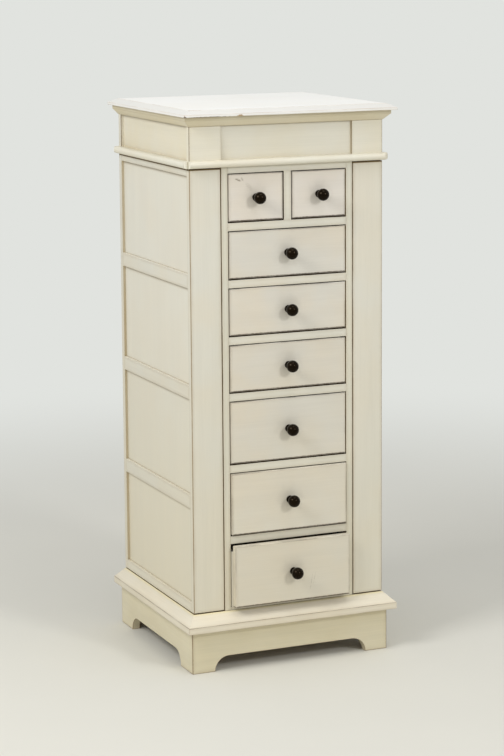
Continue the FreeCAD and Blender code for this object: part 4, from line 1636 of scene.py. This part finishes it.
def joined_meshes(meshes: Iterable[BMesh]) -> BMesh:
    """Return one mesh that holds several, which are freed.

    Args:
        meshes: The meshes.

    Returns:
        The one mesh.
    """
    whole = bmesh.new()
    for mesh in meshes:
        data = bpy.data.meshes.new("part")
        mesh.to_mesh(data)
        mesh.free()
        whole.from_mesh(data)
        bpy.data.meshes.remove(data)
    return whole


@dataclass(frozen=True)
class Screw:
    """The head of a cross-head screw, with its recess cut in."""

    radius: float = 2.4 * MM
    height: float = 0.7 * MM
    slot_share: float = 0.14
    arm_share: float = 0.62
    recess: float = 0.5 * MM
    top_share: float = 0.82
    draft_share: float = 0.2
    upward: float = 0.99
    sides: int = 20

    def mesh(self, at: Vector, facing: Vector) -> BMesh:
        """Build the head.

        Args:
            at: The middle of the face that it is seated on.
            facing: The way that it points.

        Returns:
            A new mesh.
        """
        mesh = bmesh.new()
        bmesh.ops.create_cone(mesh, cap_ends=True, segments=self.sides, radius1=self.radius,
                              radius2=self.radius * self.top_share, depth=self.height)
        bmesh.ops.translate(mesh, vec=(0, 0, self.height / 2), verts=mesh.verts)
        slot = self.radius * self.slot_share
        arm = self.radius * self.arm_share
        for axis in (unit(X), unit(Y)):
            for offset in (-arm, -slot, slot, arm):
                top = [each for each in mesh.faces if each.normal.z > self.upward]
                geometry = {part for each in top for part in (each, *each.edges, *each.verts)}
                bmesh.ops.bisect_plane(mesh, geom=sorted(geometry, key=self.order), dist=WELD,
                                       plane_co=axis * offset, plane_no=axis)
        cross = [each for each in mesh.faces if each.normal.z > self.upward
                 and self.in_cross(each.calc_center_median(), slot, arm)]
        bmesh.ops.inset_region(mesh, faces=cross, thickness=slot * self.draft_share,
                               depth=-self.recess, use_even_offset=True)
        turn = facing.to_track_quat("Z", "Y").to_matrix().to_4x4()
        bmesh.ops.transform(mesh, matrix=Matrix.Translation(at) @ turn, verts=mesh.verts)
        return mesh

    @staticmethod
    def order(part: bmesh.types.BMVert | BMEdge | BMFace) -> tuple[str, int]:
        """Return a fixed order for the parts of a mesh."""
        return type(part).__name__, part.index

    @staticmethod
    def in_cross(spot: Vector, slot: float, arm: float) -> bool:
        """Tell whether a spot lies in the cross."""
        return min(abs(spot.x), abs(spot.y)) < slot and max(abs(spot.x), abs(spot.y)) < arm


@dataclass
class Plinth:
    """The four mitred boards with their bracket feet, and the glue blocks behind them."""

    finishes: Finishes
    rub: Rub = Rub(left=0.85, right=0.85, front=0.85, back=0.4, bottom=0.75, top=0.1)

    def build(self) -> None:
        """Dress the boards and the blocks."""
        for side in ("front", "left", "right", "back"):
            Dresser(f"plinth_{side}", self.finishes.base, rub=self.rub).dress()
        dress_bare("plinth_blocks", self.finishes.bare)


@dataclass
class BaseCap:
    """The bevelled cap on the plinth, and the base board inside it."""

    finishes: Finishes
    rub: Rub = Rub(left=0.55, right=0.55, front=0.6, back=0.2, bottom=0.4, top=0.6)

    def build(self) -> None:
        """Dress the cap and the base board."""
        Dresser("base_cap", self.finishes.cap, rub=self.rub, radius=0.7 * MM, mitred=True).dress()
        dress_bare("base_board", self.finishes.bare)


@dataclass
class Carcass:
    """The partitions, the face frame, the back panel and the runners."""

    finishes: Finishes
    frame_rub: Rub = Rub(left=0.25, right=0.25, front=0.3, back=0.1, bottom=0.2, top=0.35)

    def build(self) -> None:
        """Dress the boards of the body."""
        for side in Side:
            Dresser(f"partition_{side.word}", self.finishes.partition, rub=self.frame_rub).dress()
        Dresser("face_frame", self.finishes.painted, rub=self.frame_rub, radius=0.3 * MM,
                # Painted shade: the walls of the drawer openings take the dark gap paint.
                walls=dict.fromkeys((Facing.LEFT, Facing.RIGHT, Facing.DOWN, Facing.UP),
                                    self.finishes.gap)).dress()
        Dresser("back_panel", self.finishes.painted, radius=0.4 * MM).dress()
        dress_bare("drawer_runners", self.finishes.bare)


@dataclass
class Frieze:
    """The box round the top compartment, with its recessed panels and mouldings."""

    finishes: Finishes
    stile: float = 61 * MM
    corner_rub: Rub = Rub(left=0.8, right=0.7, front=0.8, back=0.2, bottom=0.1, top=0.1)
    moulding_rub: Rub = Rub(left=0.2, right=0.2, front=0.2, back=0.1, bottom=0.25, top=0.15)

    def build(self) -> None:
        """Dress the frieze's boards and its mouldings."""
        low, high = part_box("frieze_front")
        joints = (low.x + self.stile, high.x - self.stile)
        Dresser("frieze_front", self.finishes.frieze, rub=self.corner_rub, joints=joints,
                # The panel's end walls take the recess paint, glaze and painted shade.
                walls=dict.fromkeys((Facing.LEFT, Facing.RIGHT), self.finishes.recess),
                walls_inside=True).dress()
        for side in Side:
            Dresser(f"frieze_{side.word}", self.finishes.frieze_side, eased=Eased.OUTLINE,
                    rub=self.corner_rub, walls_inside=True,
                    # The panels' end walls take the recess paint, glaze and painted shade.
                    walls=dict.fromkeys((Facing.FRONT, Facing.BACK), self.finishes.recess),
                    ).dress()
        Dresser("frieze_back", self.finishes.painted, rub=self.corner_rub).dress()
        for name, paint in (("bead_moulding", self.finishes.bead),
                            ("bed_moulding", self.finishes.bed)):
            Dresser(name, paint, rub=self.moulding_rub, radius=0.35 * MM,
                    sharp=math.radians(60), mitred=True).dress()


@dataclass
class Lid:
    """The lid's slab, and the bevelled mirror under it."""

    finishes: Finishes
    rub: Rub = Rub(left=0.5, right=0.5, front=0.55, back=0.4, bottom=0.3, top=0.5)
    mirror_bevel: float = 13 * MM
    mirror_drop: float = 1.2 * MM

    def build(self) -> None:
        """Dress the slab and make the mirror."""
        Dresser("lid_slab", self.finishes.lid, rub=self.rub, sharp=math.radians(20),
                # The underside keeps the plain cream, without the lid's painted light.
                walls={Facing.DOWN: self.finishes.painted}).dress()
        self.build_mirror()

    def build_mirror(self) -> None:
        """Make the mirror, with its wide ground bevel on the side that shows."""
        low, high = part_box("lid_mirror")
        mesh = box_mesh(low, high)
        shown = min(mesh.faces, key=lambda each: each.normal.z)
        corners = list(shown.verts)
        bmesh.ops.inset_region(mesh, faces=[shown], thickness=self.mirror_bevel,
                               use_even_offset=True)
        bmesh.ops.translate(mesh, vec=(0, 0, self.mirror_drop), verts=corners)
        piece = add_object("lid_mirror_glass", mesh, [self.finishes.mirror],
                           "lid_mirror", "mirror")
        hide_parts("lid_mirror")


@dataclass
class TopCompartment:
    """The tray under the lid: dividers, felt in each bay, and the ring rolls."""

    finishes: Finishes
    felt_thickness: float = 1.5 * MM
    felt_play: float = 0.3 * MM

    def build(self) -> None:
        """Dress the tray, line its bays and make the ring rolls."""
        dress_bare("tray_floor", self.finishes.bare)
        Dresser("tray_dividers", self.finishes.painted, rub=Rub.even(0.2)).dress()
        self.line_bays()
        RingRolls(self.finishes.felt).build()

    def bays(self) -> list[Box]:
        """Return the floor of each open bay, from the dividers' places.

        Returns:
            The floor of each bay, by its corners.
        """
        floor_low, floor_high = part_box("tray_floor")
        dividers = solid_boxes("tray_dividers")
        long = max(dividers, key=lambda box: box[1].x - box[0].x)
        split = min(dividers, key=lambda box: box[0].y)
        cross = next(box for box in dividers
                     if box[0].x >= split[1].x and box[1].y <= long[0].y)
        rear = sorted((box for box in dividers if box[0].y >= long[1].y),
                      key=lambda box: box[0].x)
        level = floor_high.z
        spans = [
            (split[1].x, floor_low.y, floor_high.x, cross[0].y),
            (split[1].x, cross[1].y, floor_high.x, long[0].y),
            (floor_low.x, long[1].y, rear[0][0].x, floor_high.y),
            (rear[0][1].x, long[1].y, rear[1][0].x, floor_high.y),
            (rear[1][1].x, long[1].y, floor_high.x, floor_high.y),
        ]
        return [(Vector((left, front, level)), Vector((right, back, level)))
                for left, front, right, back in spans]

    def line_bays(self) -> None:
        """Lay felt on the floor of each open bay."""
        play = Vector((self.felt_play, self.felt_play, 0))
        rise = Vector((0, 0, self.felt_thickness))
        sheets = [board_mesh(low + play, high - play + rise, radius=0.6 * MM)
                  for low, high in self.bays()]
        add_object("tray_felt", joined_meshes(sheets), [self.finishes.felt],
                   "tray_floor", "lining")


@dataclass
class RingRolls:
    """The padded rolls that hold rings, blown up as soft cloth over their CAD shape."""

    felt: Material
    voxel: float = 2.6 * MM
    shrink: float = 0.7 * MM
    pressure: float = 4.0
    quality: int = 4
    frames: int = 18
    cap: float = 1.1 * MM

    def build(self) -> None:
        """Make the rolls, which stand for the CAD cushion."""
        mesh = merged_solids("ring_rolls")
        for each in mesh.faces:
            each.smooth = True
        piece = add_object("ring_rolls_padded", mesh, [self.felt], "ring_rolls", "lining")
        self.remesh(piece)
        self.draw_in(piece)
        self.blow_up(piece)
        smooth = piece.modifiers.new("soften", "SUBSURF")
        smooth.levels = smooth.render_levels = 1
        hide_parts("ring_rolls")

    def remesh(self, piece: bpy.types.Object) -> None:
        """Give the piece an even mesh.

        Args:
            piece: The rolls.
        """
        even = piece.modifiers.new("even mesh", "REMESH")
        even.mode = "VOXEL"
        even.voxel_size = self.voxel
        even.use_smooth_shade = True
        self.apply(piece, "even mesh")

    def draw_in(self, piece: bpy.types.Object) -> None:
        """Move every point in by the shrink, so that the blown-up pad fits its bay."""
        for corner in piece.data.vertices:
            corner.co -= corner.normal * self.shrink

    def blow_up(self, piece: bpy.types.Object) -> None:
        """Let the cover swell under pressure, as far as the cap.

        Args:
            piece: The rolls.
        """
        rest = [corner.co.copy() for corner in piece.data.vertices]
        cloth = piece.modifiers.new("cover", "CLOTH")
        cloth.settings.use_pressure = True
        cloth.settings.uniform_pressure_force = self.pressure
        cloth.settings.quality = self.quality
        cloth.settings.effector_weights.gravity = 0
        scene = bpy.context.scene
        cloth.point_cache.frame_start = 1
        cloth.point_cache.frame_end = self.frames
        for number in range(1, self.frames + 1):
            scene.frame_set(number)
        self.apply(piece, "cover")
        scene.frame_set(1)
        for corner, start in zip(piece.data.vertices, rest):
            step = corner.co - start
            if step.length > self.cap:
                corner.co = start + step * (self.cap / step.length)

    @staticmethod
    def apply(piece: bpy.types.Object, modifier: str) -> None:
        """Apply one modifier of a piece.

        Args:
            piece: The piece.
            modifier: The modifier's name.
        """
        bpy.context.view_layer.objects.active = piece
        with bpy.context.temp_override(object=piece, active_object=piece):
            bpy.ops.object.modifier_apply(modifier=modifier)


@dataclass
class SideDoor:
    """A side door: its corner pilaster, frame, panels, hooks and strike plate."""

    finishes: Finishes
    side: Side
    frame_rub: Rub = Rub(left=0.05, right=0.05, front=0.1, back=0.4, bottom=0.1, top=0.0)
    strike_width: float = 14 * MM
    strike_height: float = 36 * MM
    strike_thickness: float = 0.2 * MM

    def build(self) -> None:
        """Dress the door and add its strike plate."""
        prefix = f"door_{self.side.word}"
        is_left = self.side is Side.LEFT
        left, right = (0.8, 0.4) if is_left else (0.4, 0.8)
        Dresser(f"{prefix}_pilaster", self.finishes.door, eased=Eased.OUTLINE,
                sharp=math.radians(20), radius=0.5 * MM,
                rub=Rub(left, right, front=0.8, bottom=0.5),
                # The pilaster's inner edge, in the gap, takes the recess paint, glaze and painted
                # shade.
                walls={Facing.RIGHT if is_left else Facing.LEFT: self.finishes.recess}).dress()
        Dresser(f"{prefix}_frame", self.finishes.door, eased=Eased.OUTLINE,
                rub=self.frame_rub, radius=0.45 * MM,
                # The frame's front- and down-facing walls take the recess paint, glaze and painted
                # shade.
                walls={Facing.FRONT: self.finishes.recess, Facing.DOWN: self.finishes.recess,
                       # The up-facing walls take the lighter paint, a painted highlight.
                       Facing.UP: self.finishes.ledge}).dress()
        Dresser(f"{prefix}_panels", self.finishes.panel, grain=Grain.UPRIGHT,
                rub=Rub.even(0), radius=0.2 * MM).dress()
        paint_node(f"{prefix}_hooks", self.finishes.brass)
        self.add_strike(prefix)

    def add_strike(self, prefix: str) -> None:
        """Put the steel plate that the catch pulls on the pilaster's inner face.

        Args:
            prefix: What the names of the door's nodes start with.
        """
        low, high = next(box for box in solid_boxes("door_catches")
                         if box[0].x * self.side.value > 0)
        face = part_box(f"{prefix}_pilaster")[1].y
        middle = (low + high) / 2
        half = Vector((self.strike_width / 2, 0, self.strike_height / 2))
        centre = Vector((middle.x, face, middle.z))
        plate = board_mesh(centre - half, centre + half + Vector((0, self.strike_thickness, 0)),
                           radius=0.06 * MM, segments=1)
        add_object(f"{prefix}_strike_plate", plate, [self.finishes.steel],
                   f"{prefix}_pilaster", "brass")


@dataclass
class Catches:
    """The magnetic catches on the partitions: a housing with two steel poles each."""

    finishes: Finishes
    pole_width: float = 1.6 * MM
    pole_inset: float = 2.2 * MM
    pole_reach: float = 0.06 * MM

    def build(self) -> None:
        """Dress the housings and set their poles."""
        Dresser("door_catches", self.finishes.plastic, slot="catch_plastic", radius=0.8 * MM,
                segments=3, suffix="moulded").dress()
        poles = []
        for low, high in solid_boxes("door_catches"):
            for inner in (low.x + self.pole_inset, high.x - self.pole_inset - self.pole_width):
                start = Vector((inner, low.y - self.pole_reach, low.z + self.pole_inset))
                end = Vector((inner + self.pole_width, low.y + self.pole_width,
                              high.z - self.pole_inset))
                poles.append(board_mesh(start, end, radius=0.2 * MM, segments=1))
        add_object("door_catch_poles", joined_meshes(poles), [self.finishes.steel],
                   "door_catches", "brass")


@dataclass
class Drawer:
    """A drawer: painted front, sanded box, felt on its bottom, knob and the knob's screw."""

    finishes: Finishes
    label: str
    scuffs: tuple[Scuff, ...] = ()
    is_pale: bool = False
    # The full rub on the bottom edge is painted shadow under the front as well as wear.
    rub: Rub = Rub(left=0.35, right=0.42, front=0.5, bottom=1.0, top=0.3)
    groove: float = 4 * MM
    felt_thickness: float = 1.2 * MM
    felt_play: float = 0.3 * MM
    screw: Screw = Screw(radius=3.6 * MM, height=1.8 * MM, recess=1.0 * MM)

    def build(self) -> None:
        """Dress the drawer and add its felt and screw."""
        paint = self.finishes.drawer_paint(self.label, self.scuffs, self.is_pale)
        Dresser(f"{self.label}_front", paint, radius=0.35 * MM, rub=self.rub,
                # Painted shade: the front's underside takes the dark gap paint.
                walls={Facing.DOWN: self.finishes.gap}).dress()
        dress_bare(f"{self.label}_box", self.finishes.drawer_box, radius=0.5 * MM,
                   eased=Eased.OUTLINE)
        paint_node(f"{self.label}_knob", self.finishes.lacquer)
        self.lay_felt()
        self.set_screw()

    def lay_felt(self) -> None:
        """Lay felt on the drawer's bottom, between its walls."""
        low, high = min(solid_boxes(f"{self.label}_box"), key=lambda box: box[1].z - box[0].z)
        edge = self.groove + self.felt_play
        start = Vector((low.x + edge, low.y + self.felt_play, high.z))
        end = Vector((high.x - edge, high.y - edge, high.z + self.felt_thickness))
        add_object(f"{self.label}_felt", board_mesh(start, end, radius=0.5 * MM),
                   [self.finishes.felt], f"{self.label}_box", "lining")

    def set_screw(self) -> None:
        """Seat the knob's screw on the inside of the front."""
        low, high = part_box(f"{self.label}_front")
        at = Vector(((low.x + high.x) / 2, high.y, (low.z + high.z) / 2))
        add_object(f"{self.label}_knob_screw", self.screw.mesh(at, unit(Y)),
                   [self.finishes.steel], f"{self.label}_front", "brass")


@dataclass
class Hinges:
    """The butt hinges at the back, with the screws in their leaves."""

    finishes: Finishes
    spacing: float = 13 * MM
    screw: Screw = Screw(radius=2.1 * MM, height=0.35 * MM, recess=0.3 * MM)
    leaf_middle: float = 4.2 * MM
    lid_leaf_middle: float = 5.46 * MM
    leaf_rise: float = 0.47
    knuckle_radius: float = 2.4 * MM

    def build(self) -> None:
        """Give the leaves their brass and set the screws."""
        for name in ("hinge_fixed", "door_left_hinge", "door_right_hinge", "lid_hinge"):
            node = f"{name}_leaves"
            paint_node(node, self.finishes.brass)
            place = self.lid_screws if name == "lid_hinge" else self.back_screws
            screws = [screw for low, high in solid_boxes(node) for screw in place(low, high)]
            add_object(f"{name}_screws", joined_meshes(screws), [self.finishes.brass],
                       node, "brass")

    def row(self, middle: Vector, way: Vector, facing: Vector) -> list[BMesh]:
        """Return three screws in a row.

        Args:
            middle: The middle of the row.
            way: The way that the row runs.
            facing: The way that the screws face.

        Returns:
            The screws.
        """
        return [self.screw.mesh(middle + way * step, facing)
                for step in (-self.spacing, 0, self.spacing)]

    def back_screws(self, low: Vector, high: Vector) -> list[BMesh]:
        """Return the screws of a leaf that lies on the chest's back.

        Args:
            low, high: The leaf's box, with its knuckles.

        Returns:
            Its screws.
        """
        middle = (low + high) / 2
        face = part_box("back_panel")[1].y
        axis_y = high.y - (high.y - face) / 2
        surface = face + (axis_y - face) * self.leaf_rise
        if high.z - low.z > high.x - low.x:
            outer = self.flat_end(low.x, high.x)
            x = outer + math.copysign(self.leaf_middle, low.x + high.x - 2 * outer)
            return self.row(Vector((x, surface, middle.z)), unit(Z), unit(Y))
        return self.row(Vector((middle.x, surface, low.z + self.leaf_middle)), unit(X), unit(Y))

    def flat_end(self, start: float, end: float) -> float:
        """Return the end of a leaf that lies away from its knuckles.

        Args:
            start, end: The leaf's lowest and highest x.

        Returns:
            The end's x.
        """
        axis = abs(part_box("door_right_hinge_leaves")[0].x) + self.knuckle_radius
        return start if abs(abs(start) - axis) > abs(abs(end) - axis) else end

    def lid_screws(self, low: Vector, high: Vector) -> list[BMesh]:
        """Return the screws of a leaf under the lid, which face down.

        Args:
            low, high: The leaf's box, with its knuckles.

        Returns:
            Its screws.
        """
        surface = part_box("lid_slab")[0].z
        middle = Vector(((low.x + high.x) / 2, low.y + self.lid_leaf_middle, surface))
        return self.row(middle, unit(X), Vector((0, 0, -1)))


def paint_node(node: str, material: Material) -> None:
    """Give a CAD node that is shown as it is its material.

    Args:
        node: The node's name.
        material: The material.
    """
    mesh = frame["nodes"][node].data
    mesh.materials.clear()
    mesh.materials.append(material)
    log.info("%s keeps its CAD mesh, in %s", node, material.name)


@dataclass(frozen=True)
class Camera:
    """The camera, where the chest was seen from, with angles in degrees."""

    place: Vector = Vector((-1.7006, -3.9564, 1.3102))
    azimuth: float = 23.241
    elevation: float = 8.707
    roll: float = 0.428
    focal_pixels: float = 2347.0
    axis_rise_pixels: float = 80.0
    frame_height: float = 756.0
    sensor: float = 36.0

    def build(self) -> None:
        """Set the camera up."""
        turn, drop, roll = map(math.radians, (self.azimuth, self.elevation, self.roll))
        ahead = Vector((math.sin(turn) * math.cos(drop), math.cos(turn) * math.cos(drop),
                        -math.sin(drop)))
        right = Vector((math.cos(turn), -math.sin(turn), 0))
        up = right.cross(ahead)
        rolled_right = right * math.cos(roll) - up * math.sin(roll)
        rolled_up = right * math.sin(roll) + up * math.cos(roll)
        data = bpy.data.cameras.new("camera")
        data.sensor_width = self.sensor
        data.lens = self.focal_pixels / self.frame_height * self.sensor
        data.shift_y = -self.axis_rise_pixels / self.frame_height
        data.clip_end = 200
        camera = linked("camera", data)
        axes = Matrix((rolled_right, rolled_up, -ahead)).transposed()
        camera.matrix_world = Matrix.Translation(self.place) @ axes.to_4x4()
        bpy.context.scene.camera = camera


@dataclass(frozen=True)
class Softbox:
    """A square lamp that points at the chest."""

    name: str
    place: Vector
    side: float
    power: float
    target: Vector = Vector((0, 0, 0.55))

    def build(self) -> None:
        """Set the lamp up."""
        data = bpy.data.lights.new(self.name, "AREA")
        data.size = self.side
        data.energy = self.power
        lamp = linked(self.name, data)
        lamp.location = self.place
        lamp.rotation_euler = (self.target - self.place).to_track_quat("-Z", "Y").to_euler()


@dataclass
class Studio:
    """The floor, the pale backdrop and the lamps."""

    floor_colour: Colour = swatch(219, 217, 207)
    backdrop: Colour = swatch(225, 227, 223)
    floor_radius: float = 40.0
    floor_roughness: float = 0.8
    patchiness: float = 0.04
    clear_start: float = 0.7
    clear_end: float = 2.6
    world_light: Colour = swatch(252, 253, 255)
    world_strength: float = 0.57
    lamps: tuple[Softbox, ...] = (
        Softbox("key", Vector((1.0, -3.2, 2.1)), side=0.5, power=29),
        Softbox("side", Vector((-2.4, -0.9, 2.4)), side=1.2, power=45),
        Softbox("top", Vector((0.1, -0.6, 3.0)), side=1.0, power=10.5),
    )

    def build(self) -> None:
        """Make the floor, the world and the lamps."""
        bpy.context.scene.view_settings.view_transform = "Standard"
        self.add_floor()
        self.light_world()
        for lamp in self.lamps:
            lamp.build()

    def add_floor(self) -> None:
        """Lay a wide pale floor that clears into the backdrop far from the chest."""
        mesh = bmesh.new()
        bmesh.ops.create_circle(mesh, cap_ends=True, segments=96, radius=self.floor_radius)
        data = bpy.data.meshes.new("floor")
        mesh.to_mesh(data)
        mesh.free()
        floor = linked("floor", data)
        floor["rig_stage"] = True
        material, graph, shader = new_material("studio floor")
        point = graph.point()
        patches = graph.line(graph.noise(point, scale=3, detail=3), self.patchiness,
                             1 - self.patchiness / 2)
        graph.feed(shader["Base Color"], graph.scaled(self.floor_colour, patches))
        shader["Roughness"].default_value = self.floor_roughness
        glow = graph.add("ShaderNodeEmission")
        graph.feed(glow.inputs["Color"], self.backdrop)
        share = graph.fade(graph.length(point), self.clear_start, self.clear_end)
        seen = graph.add("ShaderNodeLightPath").outputs["Is Camera Ray"]
        nodes = material.node_tree.nodes
        graph.blend(graph.times(share, seen), nodes["Principled BSDF"].outputs[0],
                    glow.outputs[0], nodes["Material Output"].inputs["Surface"])
        data.materials.append(material)

    def light_world(self) -> None:
        """Light the chest softly from all round, and show the backdrop behind it."""
        world = bpy.data.worlds.new("studio")
        bpy.context.scene.world = world
        world.use_nodes = True
        graph = Graph(world.node_tree)
        light = world.node_tree.nodes["Background"]
        graph.feed(light.inputs["Color"], self.world_light)
        light.inputs["Strength"].default_value = self.world_strength
        shown = graph.add("ShaderNodeBackground")
        graph.feed(shown.inputs["Color"], self.backdrop)
        path = graph.add("ShaderNodeLightPath").outputs
        either = graph.most(path["Is Camera Ray"], path["Is Glossy Ray"])
        either = graph.most(either, path["Is Transmission Ray"])
        graph.blend(either, light.outputs[0], shown.outputs[0],
                    world.node_tree.nodes["World Output"].inputs["Surface"])


@dataclass
class Chest:
    """The whole chest, built one sub-assembly after another."""

    finishes: Finishes
    wide_drawers: tuple[int, ...] = (2, 3, 4, 5, 6, 7)
    marks: dict[str, tuple[Scuff, ...]] = field(default_factory=lambda: {
        "drawer_1_left": (Scuff(-34 * MM, 32 * MM, 8 * MM, 2.6 * MM, 0.35, 0.8),
                          Scuff(-26 * MM, 33 * MM, 5 * MM, 2.2 * MM, 1.1, 0.5),
                          Scuff(-13 * MM, 19 * MM, 13 * MM, 5 * MM, 0.9, 0.16)),
        "drawer_7": (Scuff(36 * MM, -24 * MM, 20 * MM, 0.8 * MM, 1.75, 0.5),
                     Scuff(42 * MM, -18 * MM, 15 * MM, 0.8 * MM, 1.8, 0.4)),
    })

    def build(self) -> None:
        """Build every sub-assembly."""
        for part in (Plinth, BaseCap, Carcass, Frieze, Lid, TopCompartment):
            part(self.finishes).build()
        for side in Side:
            SideDoor(self.finishes, side).build()
        for part in (Catches, Hinges):
            part(self.finishes).build()
        wide = [f"drawer_{number}" for number in self.wide_drawers]
        small = [f"drawer_1_{side.word}" for side in Side]
        for label in (*wide, *small):
            Drawer(self.finishes, label, self.marks.get(label, ()),
                   is_pale=label in small).build()


def write_sizes() -> None:
    """Gather the CAD model's box and the visual model's box."""
    boxes = {"cad": cad_box, "visual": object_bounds()}
    lists = {name: [list(corner) for corner in box] for name, box in boxes.items()}


def main() -> None:
    """Build the chest and its studio."""
    logging.basicConfig(level=logging.INFO, format="%(message)s")
    Camera().build()
    Studio().build()
    Chest(Finishes()).build()
    write_sizes()


if __name__ == "__main__":
    main()
